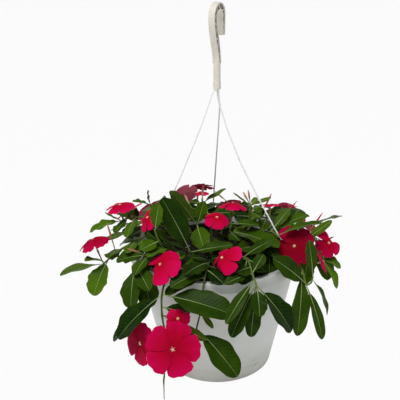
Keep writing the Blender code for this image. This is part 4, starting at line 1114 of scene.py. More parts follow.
@dataclass
class HangerHook:
    """The moulded hook: an I-beam laced with slanting ribs, on a solid shaft with a socketed foot."""

    shaft_top: float = 0.262
    top: float = 0.342
    tip: float = 0.298
    outer_radius: float = 0.018
    depth: float = 0.010
    end_depth: float = 0.007
    swell_share: float = 0.25
    shrink_share: float = 0.2
    width: float = 0.009
    flange: float = 0.0018
    web: float = 0.0018
    rib: float = 0.0013
    rib_inset: float = 0.0014
    rib_step: float = 0.010
    turn: float = 66.0
    shaft_inset: float = 0.0004
    overlap: float = 0.004
    shaft_rounding: float = 0.001
    foot_size: float = 0.0092
    foot_height: float = 0.009
    foot_rounding: float = 0.0025
    soft_edge: float = 0.0003
    stations: int = 56

    def path(self, share: float) -> tuple[float, float]:
        """The middle line in the hook's own plane, from the shaft's top (0) to the tip (1)."""
        reach, centre = self.outer_radius - self.depth / 2, self.top - self.outer_radius
        bend, arc, limb = centre - self.shaft_top, math.pi * reach, centre - self.tip
        walked = share * (bend + arc + limb)
        if walked <= bend:
            t = walked / bend
            return -reach * t * t * (3 - 2 * t), self.shaft_top + walked
        if walked <= bend + arc:
            angle = math.pi - (walked - bend) / reach
            return reach * math.cos(angle), centre + reach * math.sin(angle)
        return reach, centre - (walked - bend - arc)

    def frame(self, share: float) -> tuple[Vector, Vector]:
        """The place on the middle line and the way across the beam."""
        s, z = self.path(share)
        low, high = self.path(max(share - 0.01, 0.0)), self.path(min(share + 0.01, 1.0))
        along = Vector((high[0] - low[0], 0.0, high[1] - low[1])).normalized()
        return Vector((s, 0.0, z)), Vector((along.z, 0.0, -along.x))

    def depth_at(self, share: float) -> float:
        """The beam's depth, which tapers at both ends."""
        full = clamp(min(share / self.swell_share, (1.0 - share) / self.shrink_share))
        return self.end_depth + (self.depth - self.end_depth) * full

    def beam(self, piece: Piece) -> None:
        """Extrudes the I-section along the middle line."""
        rings = []
        for index in range(self.stations):
            share = index / (self.stations - 1)
            place, across = self.frame(share)
            half, width, web = self.depth_at(share) / 2, self.width / 2, self.web / 2
            inner = half - self.flange
            section = [(half, width), (inner, width), (inner, web)]
            section += [(-a, b) for a, b in reversed(section)]
            section += [(a, -b) for a, b in reversed(section)]
            rings.append([(place + across * a + Vector((0, b, 0)), abs(b) < self.web) for a, b in section])
        cap = piece.bm.faces.new([piece.bm.verts.new(place) for place, _ in rings[0]])
        made = list(cap.verts)
        for ring in rings[1:]:
            cap = piece.extruded(cap)
            for vert, (place, recess) in zip(cap.verts, ring):
                vert.co = place
                # The recessed web is marked for the finish's grime and painted shade.
                vert[piece.blade] = (1.0 if recess else 0.0, 0.0, 0.0)
            made += cap.verts
        bmesh.ops.recalc_face_normals(piece.bm, faces=faces_at(made))

    def bar(self, piece: Piece, start: float, end: float, side: int) -> None:
        """One slanting rib between the flanges."""
        reach = (self.depth - self.flange) / 2
        (low, low_across), (high, high_across) = self.frame(start), self.frame(end)
        a = low + low_across * side * reach * self.depth_at(start) / self.depth
        b = high - high_across * side * reach * self.depth_at(end) / self.depth
        along, level = (b - a).normalized(), Vector((0, 1, 0))
        basis = Matrix((along, level, along.cross(level))).transposed().to_4x4()
        scale = Matrix.Diagonal(((b - a).length, self.width - self.rib_inset, self.rib, 1.0))
        matrix = Matrix.Translation((a + b) / 2) @ basis @ scale
        for vert in bmesh.ops.create_cube(piece.bm, size=1.0, matrix=matrix)["verts"]:
            vert[piece.blade] = (0.25, 0.0, 0.0)

    def block(self, piece: Piece, low: Vector, high: Vector, rounding: float) -> None:
        """A box between two corners with rounded upright edges."""
        matrix = Matrix.Translation((low + high) / 2) @ Matrix.Diagonal((*(high - low), 1.0))
        verts = bmesh.ops.create_cube(piece.bm, size=1.0, matrix=matrix)["verts"]
        edges = dict.fromkeys(edge for vert in verts for edge in vert.link_edges)
        upright = [edge for edge in edges if abs(edge.verts[0].co.z - edge.verts[1].co.z) > 1e-4]
        style = {"segments": 4, "profile": 0.5, "affect": "EDGES", "material": -1}
        bmesh.ops.bevel(piece.bm, geom=upright, offset=rounding, **style)

    def build(self) -> Object:
        """Moulds the hook and turns it to its place over the pot."""
        piece = Piece("moulded_hook", Slot.HOOK, ["hanger_hook"], [HookFinish().make()])
        self.beam(piece)
        centre = self.top - self.outer_radius
        arc = math.pi * (self.outer_radius - self.depth / 2)
        ribs = round((2 * centre - self.shaft_top - self.tip + arc) / self.rib_step)
        for k in range(ribs):
            self.bar(piece, (k + 0.1) / ribs, (k + 0.9) / ribs, 1 if k % 2 else -1)
        half, wide, foot = self.end_depth / 2, self.width / 2 - self.shaft_inset, self.foot_size / 2
        low, high = HOOK_FOOT + self.overlap, self.shaft_top + self.overlap
        self.block(piece, Vector((-half, -wide, low)), Vector((half, wide, high)), self.shaft_rounding)
        low, high = HOOK_FOOT, HOOK_FOOT + self.foot_height
        self.block(piece, Vector((-foot, -foot, low)), Vector((foot, foot, high)), self.foot_rounding)
        turn = Matrix.Translation((0, 0, POT_HEIGHT)) @ Matrix.Rotation(math.radians(self.turn), 4, "Z")
        bmesh.ops.transform(piece.bm, matrix=turn, verts=piece.bm.verts)
        hook = piece.done(35.0)
        bevel = hook.modifiers.new("soft_edges", "BEVEL")
        bevel.width, bevel.segments = self.soft_edge, 2
        bevel.limit_method, bevel.angle_limit = "ANGLE", math.radians(35)
        return hook


@dataclass
class Hanger:
    """The three coated strands from the hook's foot to the rim."""

    radius: float = 0.001
    end_radius: float = 0.0018
    spread: float = 0.0024
    socket_depth: float = 0.006
    socket_mouth: float = 0.0005
    ledge_bend: tuple[tuple[float, float], ...] = ((0.1140, 0.014), (0.1182, 0.007), (0.1215, 0.0028))
    seat_heights: tuple[float, ...] = (0.0004, -0.0030, -0.0068, -0.0072, -0.0102)

    def route(self, strand: Strand) -> list[Vector]:
        """From the socket, out along the strand's own bow, and down through the rim."""
        socket = (HOOK_FOOT + self.socket_depth - GAP, HOOK_FOOT - self.socket_mouth)
        places = [(self.spread, height, 0.0) for height in socket]
        places += [(radius * MM, height * MM, push * MM) for radius, height, push in STRAND_BOWS[strand]]
        places += [(radius, height, 0.0) for radius, height in self.ledge_bend]
        places += [(STRAND_SEAT, height, 0.0) for height in self.seat_heights]
        return [
            polar(radius, strand.value, POT_HEIGHT + height) + Vector((push, 0.0, 0.0))
            for radius, height, push in places
        ]

    def build(self) -> list[Object]:
        """Draws each strand with its thickened end."""
        white = WireFinish("white_wire_coat", (0.86, 0.86, 0.85), (0.66, 0.66, 0.65)).make()
        grey = WireFinish("darker_wire_coat", (0.76, 0.74, 0.71), (0.58, 0.56, 0.53)).make()
        made = []
        for strand in Strand:
            name = "strand_" + strand.name.lower()
            route = self.route(strand)
            radii = [self.radius] * (len(route) - 2) + [self.end_radius] * 2
            # The back strand wears a greyer coat than the other two.
            finish = grey if strand is Strand.BACK else white
            piece = Piece("coated_" + name, Slot.WIRE, [name], [finish])
            piece.tube([Station(place, radius) for place, radius in zip(route, radii)], 16)
            made.append(piece.done(50.0))
        return made


# --- foliage


@dataclass(frozen=True)
class Leaf:
    """A blade from base to tip that arches over its chord and folds up at the midrib."""

    stem: int
    base: Vector
    tip: Vector
    width: float
    roll: float
    arch: float
    folded: bool = False
    ring: Ring = Ring.PAIRED

    PETIOLE_SHARE = 0.16
    PETIOLE_WIDTH = 0.0024
    SWELL, TAPER, WIDEST = 0.75, 0.6, 0.396
    OUTWARD = 0.35
    FOLD = 16.0
    SLIGHT_FOLD = 4.0
    FOLD_SOFTNESS, FOLD_DIP = 0.02, 0.1414
    CLEARANCE = 0.0021
    LONG = 0.060
    ROWS = (0.0, PETIOLE_SHARE, 0.46, 0.76)
    LONG_ROWS = (0.0, PETIOLE_SHARE, 0.40, 0.64, 0.85)
    TIP_CROWDING = 1.25
    WAVED_WIDTH = 0.022
    EDGE_WAVE = 0.05
    SWING = 0.0013
    PUFF = 0.0006
    HALF_THICKNESS = 0.00022
    RIB_DEPTH, RIB_REACH = 0.0006, 0.0009
    YOUNG_WIDTH, YOUNG_SPAN, YOUNG_SHARE = 0.006, 0.012, 0.75
    TONE_SPREAD = 0.3
    SHADED_TONE = 0.55

    def axes(self) -> tuple[Vector, Vector, Vector]:
        """The ways along the chord, across the blade and out of its face."""
        along = (self.tip - self.base).normalized()
        outward = Vector((self.base.x, self.base.y, 0.0)).normalized()
        across = along.cross(Vector((0.0, 0.0, 1.0)) + self.OUTWARD * outward).normalized()
        turn = Matrix.Rotation(math.radians(self.roll), 3, along)
        return along, turn @ across, turn @ across.cross(along)

    def half_width(self, u: float) -> float:
        """Half the blade's width at a share of its length."""
        if u <= self.PETIOLE_SHARE:
            return self.PETIOLE_WIDTH * (0.3 + 0.2 * u / self.PETIOLE_SHARE)
        t = (u - self.PETIOLE_SHARE) / (1.0 - self.PETIOLE_SHARE)
        swell = (t**self.SWELL * (1.0 - t) ** self.TAPER) / self.WIDEST
        return max(self.PETIOLE_WIDTH / 2 * (1.0 - t), self.width / 2 * swell)

    def spine(self, u: float) -> tuple[Vector, Vector, Vector]:
        """The place on the midrib, the face's normal and the way across, at a share of the length."""
        along, across, face = self.axes()
        chord = (self.tip - self.base).length
        half = math.radians(self.arch) / 2
        angle = half * (2.0 * u - 1.0)
        if self.arch:
            reach = chord / (2.0 * math.sin(half))
            middle = self.base + along * reach * (math.sin(angle) + math.sin(half))
            middle += face * reach * (math.cos(angle) - math.cos(half))
        else:
            middle = self.base + along * chord * u
        return middle, face * math.cos(angle) + along * math.sin(angle), across

    def point(self, u: float, v: float) -> tuple[Vector, Vector]:
        """The place and the normal on the plain blade, at u along it and v across it."""
        middle, normal, across = self.spine(u)
        fold, width = math.radians(self.FOLD if self.folded else 0.0), self.half_width(u)
        spot = middle + across * (v * width * math.cos(fold)) + normal * (abs(v) * width * math.sin(fold))
        return spot, normal

    def leaned(self, sideways: float, lift: float, shrink: float) -> Leaf:
        """The same leaf swung about its base and shortened."""
        _, across, face = self.axes()
        turn = Matrix.Rotation(math.radians(sideways), 3, face)
        turn @= Matrix.Rotation(math.radians(lift), 3, across)
        tip = self.base + shrink * (turn @ (self.tip - self.base))
        return replace(self, tip=tip, width=self.width * math.sqrt(shrink))

    def envelope(self, first_row: int = 0) -> BVHTree:
        """A thick stand-in for the blade, for finding what it would cross."""
        long = self.folded and (self.tip - self.base).length > self.LONG
        shares = self.LONG_ROWS if long else self.ROWS
        columns = (-1.0, 0.0, 1.0) if self.folded else (-1.0, 1.0)
        rows = [[self.point(u, v) for v in columns] for u in shares[first_row:]]
        tip, across = self.point(1.0, 0.0), len(columns)
        points = []
        for side in (0.5, -0.5):
            lift = side * self.CLEARANCE
            points += [place + normal * lift for row in rows for place, normal in row]
            points.append(tip[0] + tip[1] * lift)
        half, last = across * len(rows) + 1, across * (len(rows) - 1)
        top = []
        for row in range(len(rows) - 1):
            for column in range(across - 1):
                a = across * row + column
                top += [(a, a + 1, a + across + 1), (a, a + across + 1, a + across)]
        top += [(last + k, last + k + 1, half - 1) for k in range(across - 1)]
        faces = top + [tuple(k + half for k in face) for face in top]
        for edge in (0, across - 1):
            side = [across * k + edge for k in range(len(rows))] + [half - 1]
            for a, b in pairwise(side):
                faces += [(a, b, b + half), (a, b + half, a + half)]
        return BVHTree.FromPolygons(points, faces, all_triangles=True)

    def grow(self, piece: Piece, seed: float, finishes: tuple[int, int]) -> None:
        """Lays the finished blade: waved at its edges, puffed between midrib and rim.

        Args:
            piece: The piece that it joins.
            seed: Draws its waves and its shade.
            finishes: Which finish its top and its underside wear.
        """
        fold = math.radians(self.FOLD if self.folded else self.SLIGHT_FOLD)
        waves, size = 1.4 + 1.6 * spread(seed), min(1.0, self.width / self.WAVED_WIDTH)
        phases = {1.0: spread(seed + 0.3), -1.0: spread(seed + 0.6)}

        def place(u: float, v: float, side: float) -> tuple[Vector, Colour]:
            """The place and the blade attribute at u along, v across and one side."""
            u = 1.0 - (1.0 - u) ** self.TIP_CROWDING
            middle, normal, across = self.spine(u)
            hand, rim = (1.0 if v >= 0 else -1.0), abs(v)
            swing = math.sin(math.tau * (waves * u + phases[hand]))
            ripple = math.sin(math.tau * (1.9 * waves * u + phases[-hand]))
            half = self.half_width(u) * (1.0 + self.EDGE_WAVE * ripple * size)
            bend = math.sqrt(v * v + self.FOLD_SOFTNESS) - self.FOLD_DIP
            height = bend * half * math.sin(fold)
            open_blade = clamp((u - 0.14) * 6.0) * min(1.0, (1.0 - u) * 5.0)
            height += self.SWING * size * swing * rim**2 * open_blade
            height += self.PUFF * size * (1.0 - (2.0 * rim - 1.0) ** 2) * open_blade
            thin = (1.0 - v**4) * min(1.0, 8.0 * u)
            height += side * self.HALF_THICKNESS * thin
            if side < 0:
                ridge = math.exp(-((v * half / self.RIB_REACH) ** 2))
                height -= self.RIB_DEPTH * (1.0 - 0.8 * u) * ridge * thin
            spot = middle + across * (v * half * math.cos(fold)) + normal * height
            return spot, (u, v * half / MM, v)

        young = clamp(1.0 - (self.width - self.YOUNG_WIDTH) / self.YOUNG_SPAN) * self.YOUNG_SHARE
        tint = clamp(TONES[self.stem - 1] + self.TONE_SPREAD * (spread(seed + 0.9) - 0.5))
        # Painted shade: the leaves of the shaded layer get a darker tone.
        if self.ring is Ring.SHADED:
            tint *= self.SHADED_TONE
        rows, columns = (22, 12) if self.ring is Ring.SHOWN else (16, 8)
        length = (self.tip - self.base).length / MM
        piece.sheet(rows, columns, place, (tint, length, young), finishes)


@dataclass
class Bloom:
    """A flat five-petalled flower on a slender tube with a small green cup."""

    number: int
    middle: Vector
    facing: Vector
    reach: float
    droops: tuple[float, ...]
    tube_length: float
    turn: float

    PETALS = 5
    SHEET = 0.0008
    HALF_THICKNESS = 0.0002
    PETAL_SHARE = 0.97
    THROAT = 0.035
    HALF_BREADTH = 0.47
    # The tube from its foot to its mouth: share of its length, rise past it and radius, in metres.
    TUBE = (
        (-1.0, 0.0, 0.0012), (-0.75, 0.0, 0.00115), (-0.5, 0.0, 0.00125), (-0.3, 0.0, 0.0017),
        (-0.16, 0.0, 0.0018), (0.0, -0.002, 0.0015), (0.0, -0.0004, 0.0017), (0.0, 0.0003, 0.0011),
    )
    EYE_RIM, EYE_DEPTH = 0.0004, -0.0007
    SEPAL_RADIUS, SEPAL_FLARE, SEPAL_LENGTH = 0.0010, 0.0016, 0.0042
    SEPAL_DROP, SEPAL_HALF_WIDTH, SEPAL_HALF_THICKNESS = 0.0006, 0.00055, 0.00012

    def matrix(self) -> Matrix:
        """Takes +Z to the way the bloom faces, and the origin to its middle."""
        turn = Matrix.Rotation(math.radians(self.turn), 3, "Z")
        basis = self.facing.to_track_quat("Z", "Y").to_matrix() @ turn
        return Matrix.Translation(self.middle) @ basis.to_4x4()

    def drooped(self, radius: float, angle: float, droop: float, lower: float) -> Vector:
        """A place on a drooping petal, or under it.

        Args:
            radius: The distance from the bloom's middle, along the petal.
            angle: The way out, in radians.
            droop: How far the petal's end has turned down, in degrees.
            lower: The depth under its face.

        Returns:
            The place.
        """
        bend = math.radians(max(droop, 0.5))
        slope = bend * radius / self.reach
        flat = self.reach * math.sin(slope) / bend - lower * math.sin(slope)
        drop = self.reach * (1.0 - math.cos(slope)) / bend + lower * math.cos(slope)
        return Vector((flat * math.cos(angle), flat * math.sin(angle), -drop))

    def petal(self, piece: Piece, number: int) -> None:
        """Lays one broad petal, its leading edge over the next one's trailing edge."""
        matrix, seed = self.matrix(), self.number * 3.7 + number * 1.3
        ripple, lean = spread(seed), 0.036 * (spread(seed + 0.5) - 0.5)
        reach, middle = self.PETAL_SHARE * self.reach, math.tau * number / self.PETALS

        def place(u: float, v: float, side: float) -> tuple[Vector, Colour]:
            """The place and the blade attribute at u along, v across and one side."""
            rim = abs(v)
            end = 1.0 - 0.17 * rim**2.6 - 0.02 * u * (1.0 + math.sin(math.tau * (v * 1.3 + ripple)))
            x = reach * (self.THROAT + u * (end - self.THROAT))
            y = v * self.HALF_BREADTH * reach * (1.0 - (1.0 - u) ** 2.2) + lean * x
            lift = 0.03 * v * min(1.0, 1.6 * u)
            lift -= 0.018 * (1.0 - rim) ** 2 * math.sin(math.pi * min(1.0, u * 1.1))
            lift += 0.016 * math.sin(math.tau * (1.2 * v + ripple)) * u**3
            thin = (1.0 - v**4) * min(1.0, 6.0 * u) * min(1.0, 8.0 * (1.0 - u))
            lower = self.SHEET / 2 - reach * lift - side * self.HALF_THICKNESS * thin
            radius = math.hypot(x, y)
            spot = self.drooped(radius, math.atan2(y, x) + middle, self.droops[number], lower)
            return matrix @ spot, (u, radius / MM, v)

        # The second growth number is the bloom's painted shade; the third is how pale its underside is.
        deep, pale = PAINTED_SHADE_BLOOMS.get(self.number, 0.0), PALE_UNDERSIDES.get(self.number, 0.1)
        piece.sheet(14, 12, place, (spread(seed + 2.0), deep, pale), (0, 1))

    def sepal(self, piece: Piece, number: int) -> None:
        """Lays one of the narrow green points round the tube's foot."""
        matrix, angle = self.matrix(), math.tau * (number + 0.5) / self.PETALS
        level = Vector((math.cos(angle), math.sin(angle), 0.0))
        aside = Vector((-level.y, level.x, 0.0))

        def place(u: float, v: float, side: float) -> tuple[Vector, Colour]:
            """The place and the blade attribute at u along, v across and one side."""
            out = self.SEPAL_RADIUS + self.SEPAL_FLARE * u**1.5
            out += side * self.SEPAL_HALF_THICKNESS * (1.0 - v**4) * min(1.0, 6.0 * (1 - u))
            across = v * self.SEPAL_HALF_WIDTH * (1.0 - u) ** 0.7
            rise = Vector((0, 0, self.SEPAL_LENGTH * u - self.tube_length - self.SEPAL_DROP))
            return matrix @ (level * out + aside * across + rise), (0.5 + 0.5 * u, 0.0, v)

        piece.sheet(4, 2, place, (0.3, 0.0, 0.0), (3, 3))

    def build(self, finishes: Sequence[Material]) -> Object:
        """Makes the bloom in place of its solid."""
        node = f"bloom_{self.number:02d}"
        piece = Piece("vinca_" + node, Slot.PETAL, [node], finishes)
        for number in range(self.PETALS):
            self.petal(piece, number)
        matrix, length, stations = self.matrix(), self.tube_length, []
        for share, past, radius in self.TUBE:
            z = share * length + past
            stations.append(Station(matrix @ Vector((0, 0, z)), radius, 1.0 + z / length))
        cap = piece.tube(stations, 10, 2)
        eye = {"thickness": self.EYE_RIM, "depth": self.EYE_DEPTH}
        for face in [cap, *bmesh.ops.inset_individual(piece.bm, faces=[cap], **eye)["faces"]]:
            face.material_index = 4
        for number in range(self.PETALS):
            self.sepal(piece, number)
        return piece.done(60.0)


class Vine:
    """The planted vinca: its stems' routes, and every leaf set clear of what is already there."""

    STEM_RADII = (0.0021, 0.0012)
    JOINT_SWELL, JOINT_SHARPNESS = 0.28, 7.0
    HOLE_DEPTH = 0.012
    HOLE_CLEARANCE, SOIL_CLEARANCE = 0.5, 3
    STALK_RADIUS = 0.0011
    STALK_KNEE = 0.45
    STALK_END = 0.0025
    # A bud from its foot to its tip: share of its length and radius in millimetres.
    BUD = (
        (0.0, 0.75), (0.3, 0.7), (0.42, 0.8), (0.5, 1.2), (0.6, 1.4), (0.75, 1.35), (0.9, 0.95),
        (1.0, 0.3),
    )
    PLAIN_BUD = ((0.0, 0.77), (0.6, 1.4), (1.0, 0.4))
    RED_BUDS_FROM = 60
    CROWN_HEIGHT = 0.050
    CROWN_FALL = 0.41
    TIP_RISE = 0.002
    SHRINKS = (1.0, 0.86, 0.72, 0.6)
    LEAN_STEP, LEAN_RINGS, LEAN_WAYS, LEAN_TWIST = 5.0, 9, 8, 0.4
    FOLDED_FROM = 15

    def __init__(self, nodes: dict[str, Object]) -> None:
        """Lays out the stems and stalks, and takes the rigid nodes as obstacles."""
        self.routes = [self.route(stem) for stem in STEMS]
        self.blooms = [self.bloom(number, row) for number, row in enumerate(BLOOMS, 1)]
        self.obstacles: list[tuple[BVHTree, BVHTree, int]] = []
        for name, node in nodes.items():
            if not name.startswith("leafy_stem"):
                bm = bmesh.new()
                bm.from_mesh(node.data)
                self.block(bm, 0)
        for number, route in enumerate(self.routes, 1):
            self.block_tube(self.stem_stations(route, 2, False), number)
        for row in BLOOMS:
            self.block_tube([Station(place, self.STALK_RADIUS) for place in self.stalk(row)], row[0])
        for row in BUDS:
            self.block_tube(self.bud_stations(row, self.PLAIN_BUD), row[0])

    def block(self, bm: BMesh, owner: int) -> None:
        """Takes what was drawn as an obstacle, by the number of its stem or 0."""
        tree = BVHTree.FromBMesh(bm)
        bm.free()
        self.obstacles.append((tree, tree, owner))

    def block_tube(self, stations: Sequence[Station], owner: int) -> None:
        """Takes a plain five-sided tube as an obstacle."""
        piece = Piece("obstacle", Slot.LEAF, [], [])
        piece.tube(stations, 5)
        self.block(piece.bm, owner)

    def route(self, stem: Row) -> list[Vector]:
        """A stem's points: in its hole, at the soil's surface, then its leaf joints."""
        surface = -SOIL_DROP / MM
        bottom = (*stem[0], surface - self.HOLE_DEPTH / MM + self.HOLE_CLEARANCE)
        return [at_rim(place) for place in (bottom, (*stem[0], surface + self.SOIL_CLEARANCE), *stem[1:])]

    def root(self, route: Sequence[Vector], joint: float) -> Vector:
        """Where a leaf or a stalk starts: in the stem's middle, and never at its very end."""
        return curve_point(route, min(joint + 1.0, len(route) - 1.15))

    def stem_stations(self, route: Sequence[Vector], steps: int, swollen: bool) -> list[Station]:
        """The stations of a stem's tube, swollen at its joints if wanted."""
        last = len(route) - 1
        first, end = self.STEM_RADII
        made = []
        for station in [0.0, *(1 + k / steps for k in range(steps * (last - 1) + 1))]:
            radius = first + (end - first) * station / last
            if swollen:
                near = max(0.0, 1.0 - abs(station - round(station)) * self.JOINT_SHARPNESS)
                radius *= 0.9 + (self.JOINT_SWELL * near if station > 1.5 else 0.0)
            made.append(Station(curve_point(route, station), radius, station / last))
        return made

    def bloom(self, number: int, row: Row) -> Bloom:
        """A bloom from its row of the table."""
        _, _, middle, facing, width, droop, length, turn = row
        droops = droop if isinstance(droop, tuple) else (droop,) * Bloom.PETALS
        way = Vector(facing).normalized()
        return Bloom(number, at_rim(middle), way, width * MM / 2, droops, length * MM, turn)

    def stalk(self, row: Row, steps: int = 2) -> list[Vector]:
        """A flower stalk's points, from the stem to just short of the bloom's tube."""
        stem, joint, middle, facing, _, _, length, _ = row
        facing = Vector(facing).normalized()
        start = self.root(self.routes[stem - 1], joint)
        end = at_rim(middle) - facing * (length * MM + GAP)
        low = end - facing * self.STALK_END
        knee = low - facing * self.STALK_KNEE * (low - start).length
        shares = [k / steps for k in range(steps + 1)]
        return [start * (1 - t) ** 2 + knee * 2 * t * (1 - t) + low * t * t for t in shares] + [end]

    def bud_stations(self, row: Row, sizes: Sequence[tuple[float, float]]) -> list[Station]:
        """A bud's stations from (share, radius in millimetres) pairs."""
        stem, joint, tip = row
        start = self.root(self.routes[stem - 1], joint)
        along = at_rim(tip) - start
        return [Station(start + along * share, radius * MM, share) for share, radius in sizes]

    def crown_top(self, place: Vector) -> float:
        """How high a leaf's tip may stand: the crown falls away towards the back."""
        return POT_HEIGHT + self.CROWN_HEIGHT - self.CROWN_FALL * place.y

    def leanings(self) -> Iterator[tuple[float, float]]:
        """Small turns about a leaf's base, the smallest first."""
        yield 0.0, 0.0
        for ring in range(1, self.LEAN_RINGS + 1):
            for k in range(self.LEAN_WAYS):
                angle = math.tau * k / self.LEAN_WAYS + self.LEAN_TWIST * ring
                yield self.LEAN_STEP * ring * math.cos(angle), self.LEAN_STEP * ring * math.sin(angle)

    def bent_clear(self, leaf: Leaf) -> Leaf | None:
        """The leaf turned, and if need be shortened, until it crosses nothing."""
        for shrink in self.SHRINKS:
            for sideways, lift in self.leanings():
                tried = leaf.leaned(sideways, lift, shrink)
                if tried.tip.z > max(leaf.tip.z, self.crown_top(tried.tip)) + self.TIP_RISE:
                    continue
                whole, outer = tried.envelope(), tried.envelope(1)
                if any(tree.overlap(whole) for tree, _, owner in self.obstacles if owner != leaf.stem):
                    continue
                if any(tree.overlap(outer) for _, tree, owner in self.obstacles if owner == leaf.stem):
                    continue
                return tried
        return None

    def paired(self) -> Iterator[Leaf]:
        """The leaves set by rule: opposite pairs, each pair a quarter turn from the last."""
        for stem, joints, size in LEAF_PAIRS:
            route = self.routes[stem - 1]
            for order, joint in enumerate(joints):
                base = self.root(route, joint)
                along = curve_direction(route, joint + 1.0)
                level = along.cross(Vector((0.0, 0.0, 1.0))).normalized()
                degrees = 90 * order + 40 * spread(stem + 0.37 * order) - 20
                turn = Matrix.Rotation(math.radians(degrees), 3, along)
                for side in (1.0, -1.0):
                    draw = stem * 7.1 + order * 3.3 + side
                    length = size * MM * (0.85 + 0.3 * spread(draw))
                    way = (along * 0.45 + turn @ level * side * 0.9 + Vector((0, 0, 0.12))).normalized()
                    tip = base + way * length
                    tip.z = min(tip.z - 0.18 * length, self.crown_top(tip))
                    width = length * (0.38 + 0.08 * spread(draw + 5))
                    roll, arch = 24 * spread(draw + 9) - 12, 18 + 18 * spread(draw + 2)
                    yield Leaf(stem, base, tip, width, roll, arch)

    def leaves(self) -> list[Leaf]:
        """Every leaf, each bent clear of what is already there."""
        wanted = []
        for table, ring in ((LEAVES, Ring.SHOWN), (SHADED_LEAVES, Ring.SHADED)):
            for stem, joint, tip, width, roll, arch in table:
                base = self.root(self.routes[stem - 1], joint)
                folded = ring is Ring.SHOWN and width > self.FOLDED_FROM
                wanted.append(Leaf(stem, base, at_rim(tip), width * MM, roll, arch, folded, ring))
        grown = []
        for leaf in [*wanted, *self.paired()]:
            clear = self.bent_clear(leaf)
            if clear:
                grown.append(clear)
                self.obstacles.append((clear.envelope(), clear.envelope(1), clear.stem))
        return grown

    def build_stem(
        self, number: int, leaves: Sequence[tuple[int, Leaf]], finishes: Sequence[Material]
    ) -> Object:
        """One stem with its leaves, flower stalks and buds.

        Args:
            number: The stem's number.
            leaves: Its leaves, each with its place in the whole list.
            finishes: Leaf face, leaf underside, stem and bud.

        Returns:
            The finished stem.
        """
        piece = Piece(f"vinca_stem_{number:02d}", Slot.LEAF, [f"leafy_stem_{number:02d}"], finishes)
        old = float(number in OLD_STEMS)
        piece.tube(self.stem_stations(self.routes[number - 1], 8, True), 10, 2, old)
        for order, leaf in leaves:
            leaf.grow(piece, order * 1.618 + 0.37, (0, 1))
        for row in BLOOMS:
            if row[0] == number:
                points = self.stalk(row, 8)
                shares = [k / (len(points) - 1) for k in range(len(points))]
                piece.tube([
                    Station(point, self.STALK_RADIUS * (0.8 + 0.25 * share**3), 0.7 + 0.3 * share)
                    for point, share in zip(points, shares)
                ], 8, 2, old)
        for row in BUDS:
            if row[0] == number:
                piece.tube(self.bud_stations(row, self.BUD), 10, 3, float(row[2][0] > self.RED_BUDS_FROM))
        return piece.done(60.0)

    def build(self) -> list[Object]:
        """Grows every stem and bloom."""
        pale, rusty = (0.36, 0.46, 0.20), (0.07, 0.045, 0.008)
        soft = (0.12, 0.11, 0.03)
        green = [finish.make() for finish in (
            LeafFinish("leaf_face", (0.003, 0.016, 0.0008), (0.072, 0.152, 0.003), pale, rusty),
            LeafFinish(
                "leaf_underside", (0.030, 0.075, 0.008), (0.10, 0.18, 0.018), (0.26, 0.34, 0.11), soft,
                side_veins=0.2, rib_width=0.7, roughness=0.55,
            ),
            StemFinish(),
            BudFinish("bud", (0.10, 0.17, 0.03), (0.46, 0.14, 0.11), (0.42, 0.008, 0.035)),
        )]
        warm = (0.90, 0.74, 0.28)
        face, back, tube, eye = (finish.make() for finish in (
            PetalFinish("petal_face", (0.63, 0.0006, 0.040), (0.34, 0.0, 0.012), (0.63, 0.0015, 0.092)),
            PetalFinish(
                "petal_underside", (0.46, 0.008, 0.05), (0.34, 0.003, 0.028), (0.52, 0.02, 0.09), star=0.0
            ),
            BudFinish("flower_tube", (0.24, 0.28, 0.10), (0.60, 0.24, 0.24), (0.50, 0.05, 0.09), 0.05, 0.6),
            BudFinish("flower_eye", (0.75, 0.48, 0.10), warm, warm, 0.9, 1.0),
        ))
        grown = list(enumerate(self.leaves()))
        LOG.info("%d leaves", len(grown))
        made = []
        for number in range(1, len(STEMS) + 1):
            made.append(self.build_stem(number, [item for item in grown if item[1].stem == number], green))
        return made + [bloom.build([face, back, tube, green[2], eye]) for bloom in self.blooms]


# --- studio


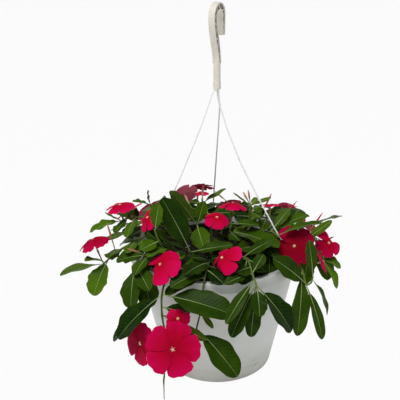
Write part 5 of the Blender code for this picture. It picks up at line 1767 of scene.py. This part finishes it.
@dataclass
class Studio:
    """A plain pale floor, soft light and the camera."""

    floor_height: float = -1.2
    floor_size: float = 40.0
    lens: float = 67.5
    sensor: float = 36.0
    camera_back: float = 0.987
    camera_height: float = 0.669
    camera_pitch: float = 22.7
    shift: float = -17 / 400
    sun_height: float = 68.0
    sun_azimuth: float = 235.0
    sun_angle: float = 30.0
    sun_strength: float = 2.5
    # How bright the room is at a low and at a high direction, as (height of direction, strength).
    room: tuple[tuple[float, float], ...] = ((0.06, 0.955), (0.25, 0.25))

    def camera(self) -> None:
        """Sets the camera in front and above, looking down at the basket."""
        data = bpy.data.cameras.new("camera")
        data.lens, data.sensor_width, data.shift_x = self.lens, self.sensor, self.shift
        view = placed("camera", data)
        view.location = (0.0, -self.camera_back, self.camera_height)
        view.rotation_euler = (math.radians(90.0 - self.camera_pitch), 0.0, 0.0)
        bpy.context.scene.camera = view

    def floor(self) -> None:
        """Lays the floor."""
        bm = bmesh.new()
        bmesh.ops.create_grid(bm, x_segments=2, y_segments=2, size=self.floor_size)
        bmesh.ops.translate(bm, verts=bm.verts, vec=(0.0, 0.0, self.floor_height))
        made = placed("floor", meshed(bm, "floor"))
        shade = Shade("pale_floor", Specular_IOR_Level=0.1)
        pale = shade.mix(shade.grain(3.0) * 0.1, (0.97, 0.97, 0.97), (0.95, 0.95, 0.95))
        made.data.materials.append(shade.finished(pale, 0.9))
        made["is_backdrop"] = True

    def sun(self) -> None:
        """Hangs a broad soft sun."""
        lamp = bpy.data.lights.new("sun", "SUN")
        lamp.energy, lamp.angle = self.sun_strength, math.radians(self.sun_angle)
        height = math.radians(self.sun_height)
        source = polar(math.cos(height), self.sun_azimuth, math.sin(height))
        placed("sun", lamp).rotation_euler = source.to_track_quat("Z", "Y").to_euler()

    def surroundings(self) -> None:
        """Makes the room pale at the horizon and dim above."""
        world = bpy.data.worlds.new("pale_room")
        world.use_nodes = True
        nodes, links = world.node_tree.nodes, world.node_tree.links
        way, split, ramp = (
            nodes.new("ShaderNode" + kind) for kind in ("TexCoord", "SeparateXYZ", "MapRange")
        )
        (low, bright), (high, dim) = self.room
        for index, value in enumerate((low, high, bright, dim), 1):
            ramp.inputs[index].default_value = value
        back = nodes["Background"]
        back.inputs["Color"].default_value = (1.0, 1.0, 1.0, 1.0)
        links.new(way.outputs["Generated"], split.inputs[0])
        links.new(split.outputs["Z"], ramp.inputs["Value"])
        links.new(ramp.outputs[0], back.inputs["Strength"])
        bpy.context.scene.world = world
        bpy.context.scene.view_settings.view_transform = "Standard"

    def build(self) -> None:
        """Sets up the whole studio."""
        self.camera()
        self.floor()
        self.sun()
        self.surroundings()


def keep_inside(pieces: Sequence[Object], box: Sequence[Sequence[float]], margin: float = 1e-5) -> None:
    """Bends back the few petal and leaf tips that would stand out of the frame's box.

    Args:
        pieces: The finished objects.
        box: The frame's low and high corners.
        margin: How far inside the box they stay.
    """
    for piece in pieces:
        for vert in piece.data.vertices:
            vert.co = [clamp(value, a + margin, b - margin) for value, a, b in zip(vert.co, *box)]


def corners(bounds: tuple[Vector, Vector]) -> list[list[float]]:
    """A box as plain lists of numbers."""
    return [[float(value) for value in corner] for corner in bounds]


def main() -> None:
    """Loads the frame and dresses it."""
    logging.basicConfig(level=logging.INFO, format="%(message)s")
    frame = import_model()
    sizes = {"frame": corners(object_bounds())}
    Studio().build()
    HangingPot().build()
    PottingMix().build()
    HangerHook().build()
    Hanger().build()
    keep_inside(Vine(frame["nodes"]).build(), sizes["frame"])
    sizes["scene"] = corners(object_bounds())


if __name__ == "__main__":
    main()
